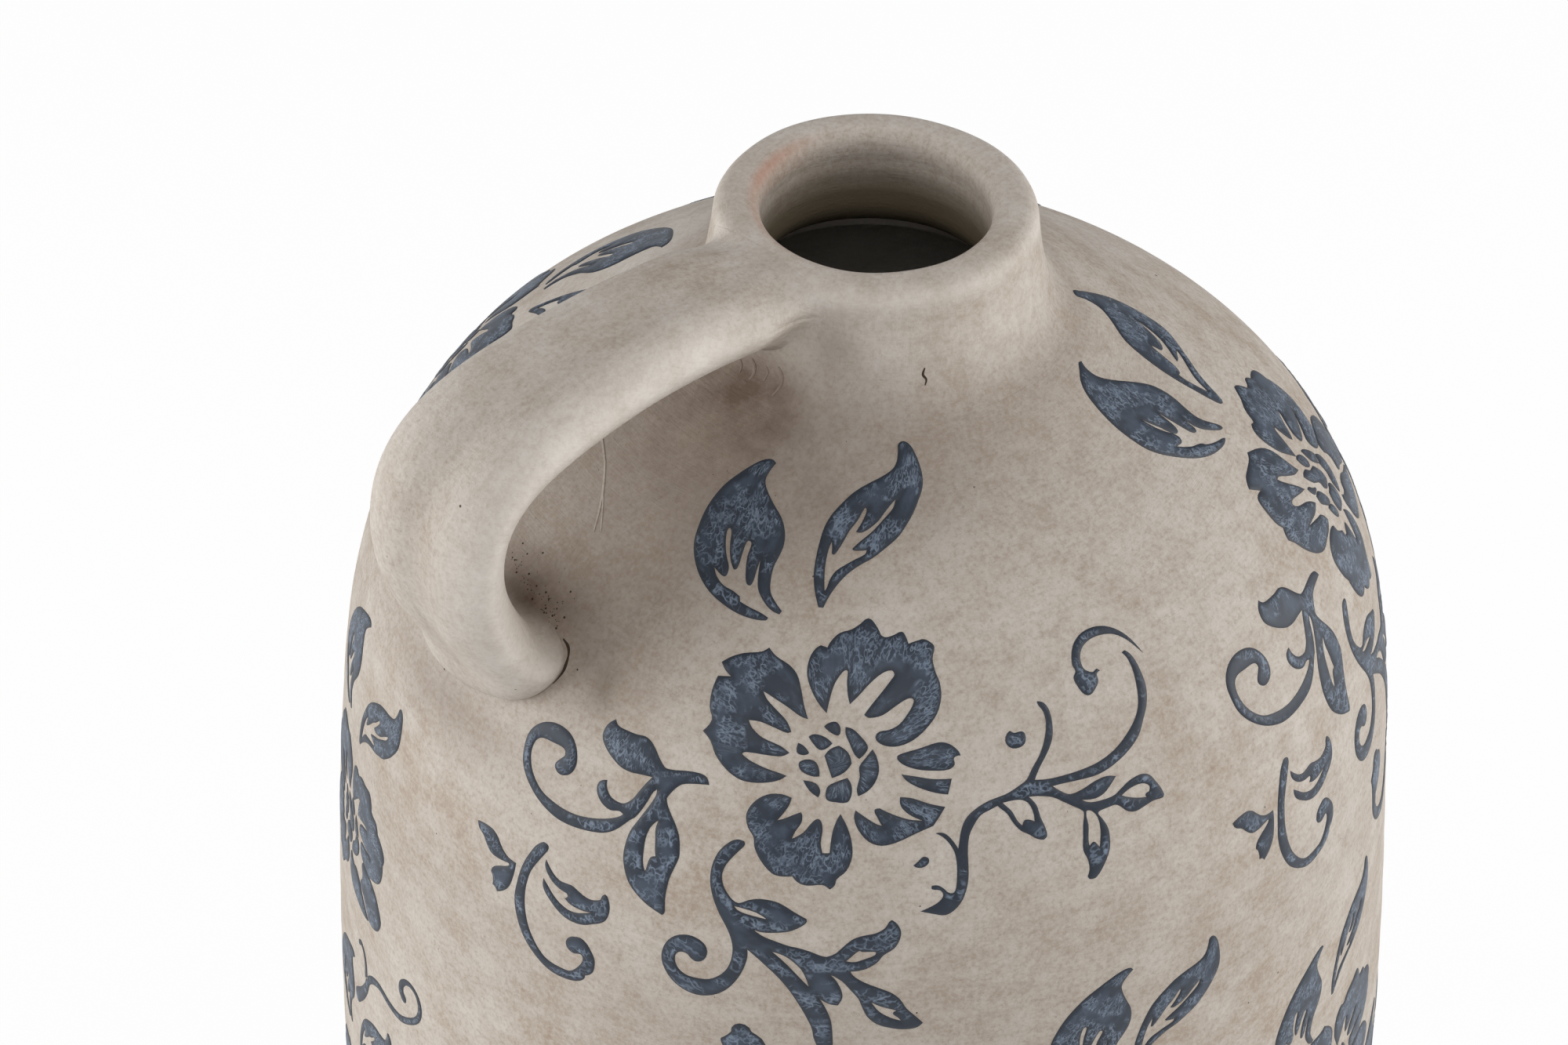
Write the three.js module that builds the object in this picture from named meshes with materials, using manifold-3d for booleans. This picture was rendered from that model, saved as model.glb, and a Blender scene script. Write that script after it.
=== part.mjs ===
// Terracotta vase: a thrown, bellied jar with a low shoulder dome, a short neck with a
// rolled lip, and one strap handle from the neck to the shoulder.
// Millimetres, +Z up. The origin is the centre of the flat underside, on the axis of the
// wheel, and the handle stands on the -X side.
import * as THREE from 'three';
import { mergeVertices } from 'three/addons/utils/BufferGeometryUtils.js';
import Module from 'manifold-3d';

const wasm = await Module();
wasm.setup();

// Driving dimensions: heights stand above the table, radii are measured from the axis.
const BODY_HEIGHT = 328;
const NECK_HEIGHT = 22;
const SHOULDER_HEIGHT = 237.4;
const WIDEST_HEIGHT = 104;
const JOINT_HEIGHT = 150;
const NECK_FOOT_RADIUS = 37;
const SHOULDER_RADIUS = 112.1;
const BELLY_RADIUS = 124;
const FOOT_RADIUS = 97;
const WALL_THICKNESS = 8;
const BASE_THICKNESS = 12;
const HEEL_ROUND = 6;

// The slope below the horizontal, in degrees, of the shoulder where the neck springs from it,
// at the turn from shoulder to flank, and of the wall where it reaches the heel.
const SHOULDER_SLOPE = 33.8;
const TURN_SLOPE = 82;
const HEEL_SLOPE = 110;

// The neck collar: its lip, its bore and the skirt that is smeared down onto the shoulder.
const LIP_RADIUS = 32;
const MOUTH_RADIUS = 22.4;
const LIP_OUTER_ROUND = 3.5;
const LIP_INNER_ROUND = 3.5;
const COLLAR_SKIRT = 2.3;
const THROAT_LENGTH = 16;
const THROAT_FLARE = 5.7;

// The strap handle: heights below the mouth, reaches from the axis to its centre line.
const STRAP_WIDTH = 28;
const STRAP_THICKNESS = 16.5;
const STRAP_CHANNEL = 0.9;
const SPRING_DROP = 6.5;
const SPRING_RISE = 12;
const CROWN_DROP = 3.3;
const CROWN_REACH = 64;
const OUTER_REACH = 105.3;
const OUTER_DROP = 27;
const ROOT_REACH = 93;
const ROOT_SLOPE = 116;

// The luting clay that fixes the strap: how far each pad runs up the strap, and how much
// wider and thicker than the strap it is where it is pressed onto the pot.
const UPPER_LUTE_LENGTH = 8;
const LOWER_LUTE_LENGTH = 10;
const UPPER_FLARE = { width: 4, thickness: 1, reach: 7 };
const LOWER_FLARE = { width: 3, thickness: 5, reach: 9 };

// Clearance between two pieces that seat on each other.
const SEAM = 0.3;

// Facets: round the axis, along each curve of a profile, and along and round the strap.
const TURN_STEPS = 64;
const DOME_STEPS = 10;
const FLANK_STEPS = 6;
const FILLET_STEPS = 5;
const STRAP_STEPS = 36;
const STRAP_SIDES = 24;

const CLAY_WASH = { color: 0xb9ab9b, roughness: 0.9, metalness: 0 };
const BARE_CLAY = { color: 0xa8978a, roughness: 0.93, metalness: 0 };

const mouthHeight = BODY_HEIGHT + NECK_HEIGHT;
const seatHeight = BODY_HEIGHT - COLLAR_SKIRT;

const point = (radius, height) => new THREE.Vector2(radius, height);

// The direction of travel that falls by an angle below the horizontal while it moves outward.
function falling(degrees) {
  const angle = THREE.MathUtils.degToRad(degrees);
  return point(Math.cos(angle), -Math.sin(angle));
}

// A cubic curve that leaves one point and reaches the next at given slopes. Each pull is the
// share of the chord over which the curve keeps its end slope.
function sweepBetween(from, fromSlope, fromPull, to, toSlope, toPull) {
  const chord = from.distanceTo(to);
  const leave = falling(fromSlope).multiplyScalar(chord * fromPull).add(from);
  const arrive = falling(toSlope).multiplyScalar(-chord * toPull).add(to);
  return new THREE.CubicBezierCurve(from, leave, arrive, to);
}

// Points along curves that follow each other downward, each moved outward by a distance.
function sampleOffset(curves, distance) {
  const points = [];
  curves.forEach((curve, order) => {
    const steps = order === 0 ? DOME_STEPS : FLANK_STEPS;
    for (let step = order === 0 ? 0 : 1; step <= steps; step += 1) {
      const tangent = curve.getTangent(step / steps);
      const outward = point(-tangent.y, tangent.x).multiplyScalar(distance);
      points.push(curve.getPoint(step / steps).add(outward));
    }
  });
  return points;
}

// The place where a falling run of points passes a value of one coordinate.
function crossing(points, axis, value) {
  const next = points.findIndex((entry, order) => {
    const before = points[Math.max(order - 1, 0)][axis];
    return order > 0 && (before - value) * (entry[axis] - value) <= 0;
  });
  const [a, b] = [points[next - 1], points[next]];
  return a.clone().lerp(b, (value - a[axis]) / (b[axis] - a[axis]));
}

// The stretch of a falling run of points between two heights, with an exact point at each end.
function stretch(points, top, bottom) {
  const inside = points.filter((entry) => entry.y < top - SEAM && entry.y > bottom + SEAM);
  return [crossing(points, 'y', top), ...inside, crossing(points, 'y', bottom)];
}

// A solid of revolution about Z from an outline of (radius, height) listed anticlockwise.
function revolve(outline) {
  const turned = new THREE.LatheGeometry(outline, TURN_STEPS).rotateX(Math.PI / 2);
  turned.deleteAttribute('normal');
  turned.deleteAttribute('uv');
  return mergeVertices(turned);
}

const closed = (outline) => [...outline, outline[0].clone()];

// The body's outer profile, from the neck down: shoulder dome, flank and lower wall.
const bodyCurves = [
  sweepBetween(point(NECK_FOOT_RADIUS, BODY_HEIGHT), SHOULDER_SLOPE, 0.45,
    point(SHOULDER_RADIUS, SHOULDER_HEIGHT), TURN_SLOPE, 0.51),
  sweepBetween(point(SHOULDER_RADIUS, SHOULDER_HEIGHT), TURN_SLOPE, 0.24,
    point(BELLY_RADIUS, WIDEST_HEIGHT), 90, 0.27),
  sweepBetween(point(BELLY_RADIUS, WIDEST_HEIGHT), 90, 0.36,
    point(FOOT_RADIUS, HEEL_ROUND), HEEL_SLOPE, 0.3),
];
const outerWall = sampleOffset(bodyCurves, 0);
const innerWall = sampleOffset(bodyCurves, -WALL_THICKNESS);

// The neck's outer profile, from under the lip's roll down to the skirt on the shoulder.
const skirtEdge = crossing(outerWall, 'y', seatHeight + SEAM);
const neckCurve = sweepBetween(point(LIP_RADIUS, mouthHeight - LIP_OUTER_ROUND), 82, 0.7,
  skirtEdge, SHOULDER_SLOPE, 0.24);

// The disc that the pot stands on, with a heel rounded by the thumb.
function baseSlab() {
  const heelTop = outerWall.at(-1);
  const heelFoot = point(FOOT_RADIUS - 1.4 * HEEL_ROUND, 0);
  const heelCorner = point(FOOT_RADIUS - 0.4 * HEEL_ROUND, 0);
  const heel = new THREE.QuadraticBezierCurve(heelFoot, heelCorner, heelTop);
  const edge = stretch(outerWall, BASE_THICKNESS, HEEL_ROUND).reverse();
  return revolve([point(0, 0), ...heel.getPoints(FILLET_STEPS).slice(0, -1), ...edge,
    point(0, BASE_THICKNESS)]);
}

// The lower half of the body, thrown as an open bowl on the base.
function bellyWall() {
  const top = JOINT_HEIGHT - SEAM / 2;
  const bottom = BASE_THICKNESS + SEAM;
  return revolve(closed([...stretch(outerWall, top, bottom).reverse(),
    ...stretch(innerWall, top, bottom)]));
}

// The upper half, thrown as a second bowl and turned over onto the first, rim to rim.
function shoulderWall() {
  const bottom = JOINT_HEIGHT + SEAM / 2;
  const rim = point(MOUTH_RADIUS + THROAT_FLARE, seatHeight);
  return revolve(closed([...stretch(outerWall, seatHeight, bottom).reverse(), rim, innerWall[0],
    ...stretch(innerWall, innerWall[0].y, bottom).slice(1)]));
}

// A rounded corner between two straight runs of an outline, one of them level.
function corner(centreRadius, centreHeight, round, fromDegrees, toDegrees) {
  const arc = new THREE.EllipseCurve(centreRadius, centreHeight, round, round,
    THREE.MathUtils.degToRad(fromDegrees), THREE.MathUtils.degToRad(toDegrees));
  return arc.getPoints(FILLET_STEPS);
}

// The neck, thrown as a ring: skirt, waist, rolled lip, bore and the flare under the bore.
function neckCollar() {
  const waist = neckCurve.getPoints(DOME_STEPS).reverse().slice(0, -1);
  const outerRoll = corner(LIP_RADIUS - LIP_OUTER_ROUND, mouthHeight - LIP_OUTER_ROUND,
    LIP_OUTER_ROUND, 0, 90);
  const innerRoll = corner(MOUTH_RADIUS + LIP_INNER_ROUND, mouthHeight - LIP_INNER_ROUND,
    LIP_INNER_ROUND, 90, 180);
  const throatFoot = point(MOUTH_RADIUS, mouthHeight - THROAT_LENGTH);
  const flare = new THREE.QuadraticBezierCurve(throatFoot,
    point(MOUTH_RADIUS, (throatFoot.y + seatHeight) / 2),
    point(MOUTH_RADIUS + THROAT_FLARE, seatHeight + SEAM));
  return revolve(closed([...waist, ...outerRoll, ...innerRoll, ...flare.getPoints(FILLET_STEPS)]));
}

// The strap's centre line, in (reach, height): out of the neck, over the crown, round the
// outermost bend and down into the shoulder.
const strapSpring = crossing(neckCurve.getPoints(DOME_STEPS), 'y', mouthHeight - SPRING_DROP);
const strapRoot = crossing(outerWall, 'x', ROOT_REACH);
const strapCrown = point(CROWN_REACH, mouthHeight - CROWN_DROP);
const strapBend = point(OUTER_REACH, mouthHeight - OUTER_DROP);
const strapLine = new THREE.CurvePath();
strapLine.add(sweepBetween(strapSpring, -SPRING_RISE, 0.33, strapCrown, 0, 0.4));
strapLine.add(sweepBetween(strapCrown, 0, 0.5, strapBend, 90, 0.42));
strapLine.add(sweepBetween(strapBend, 90, 0.35, strapRoot, ROOT_SLOPE, 0.3));
const strapLength = strapLine.getLength();

// Centre and direction at a distance along the strap, straight on past either end.
function strapAt(distance) {
  const share = THREE.MathUtils.clamp(distance / strapLength, 0, 1);
  const direction = strapLine.getTangentAt(share);
  const beyond = distance - share * strapLength;
  return { centre: strapLine.getPointAt(share).addScaledVector(direction, beyond), direction };
}

// How much a flare adds at a distance from the pot.
const flareAt = (amount, reach, distance) => amount * Math.exp(-((Math.max(distance, 0) / reach) ** 2));

// One cross-section of the strap: a soft oblong with a shallow channel down its outer face.
function strapSection(distance) {
  const { centre, direction } = strapAt(distance);
  const toRoot = strapLength - distance;
  const width = STRAP_WIDTH + flareAt(UPPER_FLARE.width, UPPER_FLARE.reach, distance)
    + flareAt(LOWER_FLARE.width, LOWER_FLARE.reach, toRoot);
  const thickness = STRAP_THICKNESS + flareAt(UPPER_FLARE.thickness, UPPER_FLARE.reach, distance)
    + flareAt(LOWER_FLARE.thickness, LOWER_FLARE.reach, toRoot);
  const outward = point(-direction.y, direction.x);
  const soften = (value) => Math.sign(value) * Math.abs(value) ** 0.75;
  return Array.from({ length: STRAP_SIDES }, (_, side) => {
    const angle = (side / STRAP_SIDES) * 2 * Math.PI;
    const across = soften(Math.cos(angle));
    const lift = soften(Math.sin(angle)) * thickness / 2;
    const channel = lift > 0 ? STRAP_CHANNEL * (1 - across ** 2) ** 2 : 0;
    const place = centre.clone().addScaledVector(outward, lift - channel);
    return new THREE.Vector3(-place.x, across * width / 2, place.y);
  });
}

// A closed loft through the strap's sections between two distances.
function strapLoft(from, to, steps) {
  const rings = Array.from({ length: steps + 1 },
    (_, step) => strapSection(from + (to - from) * step / steps));
  const middle = (ring) => ring.reduce((sum, entry) => sum.add(entry), new THREE.Vector3())
    .divideScalar(ring.length);
  const vertices = [...rings.flat(), middle(rings[0]), middle(rings.at(-1))];
  const [firstCap, lastCap] = [vertices.length - 2, vertices.length - 1];
  const faces = [];
  for (let side = 0; side < STRAP_SIDES; side += 1) {
    const next = (side + 1) % STRAP_SIDES;
    for (let step = 0; step < steps; step += 1) {
      const [low, high] = [step * STRAP_SIDES, (step + 1) * STRAP_SIDES];
      faces.push(low + side, high + side, low + next, low + next, high + side, high + next);
    }
    faces.push(firstCap, side, next);
    faces.push(lastCap, steps * STRAP_SIDES + next, steps * STRAP_SIDES + side);
  }
  const loft = new THREE.BufferGeometry();
  loft.setAttribute('position', new THREE.Float32BufferAttribute(
    vertices.flatMap((entry) => entry.toArray()), 3));
  loft.setIndex(faces);
  return loft;
}

function toSolid(geometry) {
  return new wasm.Manifold(new wasm.Mesh({
    numProp: 3,
    vertProperties: new Float32Array(geometry.attributes.position.array),
    triVerts: new Uint32Array(geometry.index.array),
  }));
}

function toGeometry(solid) {
  const { vertProperties, triVerts } = solid.getMesh();
  const geometry = new THREE.BufferGeometry();
  geometry.setAttribute('position', new THREE.Float32BufferAttribute(vertProperties, 3));
  geometry.setIndex([...triVerts]);
  return geometry;
}

// The space that the pot and its seam take up beside the handle: the outer skin of body and
// neck, grown by the seam, and carried straight up past the rounding of the lip.
function potEnvelope() {
  const body = stretch(sampleOffset(bodyCurves, SEAM), seatHeight + SEAM,
    SHOULDER_HEIGHT - LOWER_LUTE_LENGTH);
  const neck = sampleOffset([neckCurve], SEAM).slice(0, -1);
  const top = point(neck[0].x, mouthHeight + STRAP_THICKNESS);
  return toSolid(revolve([point(0, body.at(-1).y), ...body.reverse(), ...neck.reverse(), top,
    point(0, top.y)]));
}

// The pad of clay that fixes one end of the strap, trimmed to the pot's curved skin.
function lutePad(from, to) {
  return toGeometry(toSolid(strapLoft(from, to, FILLET_STEPS)).subtract(potEnvelope()));
}

const strapBody = () => strapLoft(UPPER_LUTE_LENGTH + SEAM,
  strapLength - LOWER_LUTE_LENGTH - SEAM, STRAP_STEPS);
const upperLute = () => lutePad(-WALL_THICKNESS, UPPER_LUTE_LENGTH);
const lowerLute = () => lutePad(strapLength - LOWER_LUTE_LENGTH, strapLength + WALL_THICKNESS);

const group = new THREE.Group();

function addPiece(name, geometry, finish) {
  geometry.computeVertexNormals();
  const piece = new THREE.Mesh(geometry, new THREE.MeshStandardMaterial(finish));
  piece.name = name;
  group.add(piece);
}

addPiece('base_slab', baseSlab(), BARE_CLAY);
addPiece('belly_wall', bellyWall(), CLAY_WASH);
addPiece('shoulder_wall', shoulderWall(), CLAY_WASH);
addPiece('neck_collar', neckCollar(), CLAY_WASH);
addPiece('strap_handle', strapBody(), CLAY_WASH);
addPiece('upper_lute', upperLute(), CLAY_WASH);
addPiece('lower_lute', lowerLute(), CLAY_WASH);

export default group;
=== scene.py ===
"""A handled terracotta vase, dressed for looks: the thrown body under a cream wash, the pulled
strap handle with its luting clay, and the raised blue flowers and scrolls.

Sizes are real millimetres in the text and become metres in the meshes. +Z is up, the origin is
the middle of the underside, and the handle stands on the -X side. Lengths along the wall are
measured down the outside from just above the place where the neck springs from the shoulder.
"""

import bpy
import numpy as np
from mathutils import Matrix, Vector
from mathutils.geometry import delaunay_2d_cdt


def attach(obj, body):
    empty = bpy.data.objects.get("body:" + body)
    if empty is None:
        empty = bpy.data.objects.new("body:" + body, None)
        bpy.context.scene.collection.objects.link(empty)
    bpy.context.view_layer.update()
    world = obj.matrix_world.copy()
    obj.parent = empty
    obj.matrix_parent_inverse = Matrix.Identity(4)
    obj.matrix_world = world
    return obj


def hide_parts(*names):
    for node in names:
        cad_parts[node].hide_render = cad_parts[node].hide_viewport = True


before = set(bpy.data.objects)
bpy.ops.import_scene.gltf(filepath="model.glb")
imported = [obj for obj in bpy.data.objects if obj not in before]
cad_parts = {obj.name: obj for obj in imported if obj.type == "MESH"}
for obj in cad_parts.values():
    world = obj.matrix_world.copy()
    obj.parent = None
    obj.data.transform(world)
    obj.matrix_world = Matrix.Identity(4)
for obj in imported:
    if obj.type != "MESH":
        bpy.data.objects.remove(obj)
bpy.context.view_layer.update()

# Base slab. On the real pot this is the disc of red clay, beaten flat on the wheel, that the
# belly is thrown on. Its heel is rounded by the thumb, and the underside stays bare of wash.
FOOT_RADIUS = 97.0
HEEL_ROUND = 6.0
BASE_THICKNESS = 12.0
HEEL_SLOPE = 110.0
WIDEST = (124.0, 104.0)
TURN = (112.1, 237.4)
TURN_SLOPE = 82.0
NECK_FOOT = (37.0, 328.0)
SHOULDER_SLOPE = 33.8
POLE_GAP = 0.8          # the slab's rows end this far from the axis, and a fan closes the rest
MM = 0.001
FRONT = -134.6          # where the painting's azimuth 0 faces, in degrees about +Z
SETTLE = 0.75           # the turned skin lies this far inside the nominal size
START = 1.98            # the wall length at the foot of the neck
SHARP_ANGLE = 50.0      # a corner of more degrees than this isn't shaded smooth
GRAIN_RADIUS = 22.0     # the grain runs round the pot as if the pot were this slim
CLOUD = 40.0            # how wide the patterns of the wash are, down to its flecks
DAB = 13.0
MOTTLE = 4.0
FLECK = 1.0
PINHOLE_SPACING = 7.5


def cubic(a, p, q, d, t):
    """The curve (1-t)^3 A + 3(1-t)^2 t P + 3(1-t) t^2 Q + t^3 D."""
    return (1 - t) ** 3 * a + 3 * (1 - t) ** 2 * t * p + 3 * (1 - t) * t * t * q + t ** 3 * d


def cubic_run(start, start_slope, start_pull, end, end_slope, end_pull, count=400):
    """A cubic curve in (radius, height). P and Q lie along the end slopes, in degrees below the
    horizontal, each at its pull times the chord |D - A| from its own end."""
    a, d = np.array(start, float), np.array(end, float)
    chord = np.linalg.norm(d - a)
    first, last = np.radians(start_slope), np.radians(end_slope)
    p = a + chord * start_pull * np.array([np.cos(first), -np.sin(first)])
    q = d - chord * end_pull * np.array([np.cos(last), -np.sin(last)])
    return cubic(a, p, q, d, np.linspace(0, 1, count)[:, None])


def bent_run(start, corner, end, count=60):
    """The curve (1-t)^2 A + 2(1-t) t C + t^2 D, which rounds off a corner C."""
    a, c, d = (np.array(point, float) for point in (start, corner, end))
    t = np.linspace(0, 1, count)[:, None]
    return (1 - t) ** 2 * a + 2 * (1 - t) * t * c + t ** 2 * d


def straight_run(start, end, count=40):
    """Points (1-t) start + t end."""
    t = np.linspace(0, 1, count)[:, None]
    return (1 - t) * np.array(start, float) + t * np.array(end, float)


def lengths(path):
    """The distance travelled along a path at each of its points, as the sum of the steps."""
    steps = np.linalg.norm(np.diff(path, axis=0), axis=1)
    return np.concatenate([[0.0], np.cumsum(steps)])


def normals(path):
    """(-dz, dr) / |d| along a path, which points out of the clay where it runs down outside."""
    tangent = np.gradient(path, axis=0)
    tangent /= np.linalg.norm(tangent, axis=1)[:, None]
    return np.stack([-tangent[:, 1], tangent[:, 0]], 1)


def profile_of(runs, begin):
    """A turned cross-section from runs of (path, spacing), one after the other down the outside
    and up the inside: its points, normals and lengths, and the rows that the mesh takes. Each
    run has two rows close together at its ends, so a smoothed joint shades evenly."""
    points = np.vstack([path for path, spacing in runs])
    normal = np.vstack([normals(path) for path, spacing in runs])
    at, row, travelled = [], [], begin
    for path, spacing in runs:
        along = lengths(path)
        at.append(travelled + along + 1e-7 * np.arange(len(along)))
        inner = np.linspace(0, along[-1], max(2, int(along[-1] / spacing)) + 1)[1:-1]
        edge = min(0.15, along[-1] / 6)
        row.append(travelled + np.concatenate([[0, edge], inner, [along[-1] - edge, along[-1]]]))
        travelled += along[-1]
    row = np.concatenate(row)
    row = row[np.concatenate([[True], np.diff(row) > 1e-4])]
    return {"at": np.concatenate(at), "point": points, "normal": normal, "rows": row}


def wobble(azimuth, height):
    """How far the hand let the wall stray outward, in mm: slow waves round the pot and faint
    throwing ridges up its height, always a little inside the nominal size."""
    a = np.radians(azimuth)
    slow = 0.2 * np.sin(2 * a + 0.7) + 0.12 * np.sin(3 * a - height / 37)
    middle = 0.06 * np.sin(5 * a + height / 23) + 0.05 * np.sin(8 * a - height / 15 + 1)
    ridges = 0.03 * np.sin(height / 2.3 + 0.9 * np.sin(a))
    return slow + middle + ridges - SETTLE


def skin(profile, azimuth, at, lift=0.0):
    """Points ((R cos p, R sin p), Z) of a turned skin, with p the azimuth from the front. At a
    length, R = r + wobble + lift n and Z = z + lift m, for the profile's (r, z) and its normal
    (n, m). Close to the axis the wobble fades out as r / 20."""
    r, z = (np.interp(at, profile["at"], profile["point"][:, k]) for k in (0, 1))
    n, m = (np.interp(at, profile["at"], profile["normal"][:, k]) for k in (0, 1))
    p = np.radians(azimuth + FRONT)
    reach = r + np.clip(r / 20, 0, 1) * wobble(azimuth, z) + lift * n
    return np.stack([reach * np.cos(p), reach * np.sin(p), z + lift * m], -1)


def grid_faces(count, around, closed):
    """The four-cornered faces of a grid of rows and columns, wound outward. Its columns always
    close into a ring, and closed joins the last row to the first as well."""
    i, j = np.meshgrid(np.arange(count if closed else count - 1), np.arange(around), indexing="ij")
    k, l = (i + 1) % count, (j + 1) % around
    corners = [i * around + j, k * around + j, k * around + l, i * around + l]
    return np.stack(corners, -1).reshape(-1, 4)


def capped(grid, values):
    """A grid of rings closed by a fan at its first and last ring: points, faces and values."""
    count, around = grid.shape[:2]
    ends = np.stack([grid[0].mean(0), grid[-1].mean(0)])
    points = np.vstack([grid.reshape(-1, 3), ends])
    first, last = np.arange(around), np.arange(around) + (count - 1) * around
    fans = [np.stack([np.full(around, count * around), first, np.roll(first, -1)], 1),
            np.stack([np.full(around, count * around + 1), np.roll(last, -1), last], 1)]
    flat = {k: v.reshape(count * around, -1) for k, v in values.items()}
    given = {k: np.vstack([v, v[:1], v[-1:]]) for k, v in flat.items()}
    return points, [grid_faces(count, around, False), *fans], given


def mesh_piece(name, points, faces, values, material, nodes=()):
    """A finished piece that rides on the pot, from points in mm, blocks of faces and values."""
    mesh = bpy.data.meshes.new(name)
    mesh.from_pydata((points * MM).tolist(), [], [f for block in faces for f in block.tolist()])
    for key, value in values.items():
        value = np.ascontiguousarray(value, np.float32).reshape(len(points), -1)
        kind, field = ("FLOAT_VECTOR", "vector") if value.shape[1] == 3 else ("FLOAT", "value")
        mesh.attributes.new(key, kind, "POINT").data.foreach_set(field, value.ravel())
    mesh.shade_smooth()
    mesh.set_sharp_from_angle(angle=np.radians(SHARP_ANGLE))
    mesh.materials.append(material)
    piece = bpy.data.objects.new(name, mesh)
    bpy.context.scene.collection.objects.link(piece)
    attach(piece, "root")
    if nodes:
        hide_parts(*nodes)
    return piece


def linear(code):
    """A Blender colour from an sRGB hex code: c / 12.92 below 0.04045, else
    ((c + 0.055) / 1.055) ^ 2.4."""
    c = np.array([int(code[i:i + 2], 16) for i in (1, 3, 5)]) / 255
    c = np.where(c <= 0.04045, c / 12.92, ((c + 0.055) / 1.055) ** 2.4)
    return (*c.tolist(), 1.0)


def add_node(tree, kind, inputs=None, stops=(), **settings):
    """Adds a node, sets its options, its colour stops and its inputs, and links the inputs that
    are given as another node's output."""
    node = tree.nodes.new(kind)
    for key, value in settings.items():
        setattr(node, key, value)
    for i, (position, colour) in enumerate(stops):
        if i >= len(node.color_ramp.elements):
            node.color_ramp.elements.new(position)
        node.color_ramp.elements[i].position = position
        node.color_ramp.elements[i].color = colour
    for key, value in (inputs or {}).items():
        if isinstance(value, bpy.types.NodeSocket):
            tree.links.new(value, node.inputs[key])
        else:
            node.inputs[key].default_value = value
    return node


def new_finish(name):
    """A material of this name whose node tree is still empty, and the tree."""
    material = bpy.data.materials.new(name)
    material.use_nodes = True
    material.node_tree.nodes.clear()
    return material, material.node_tree


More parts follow.
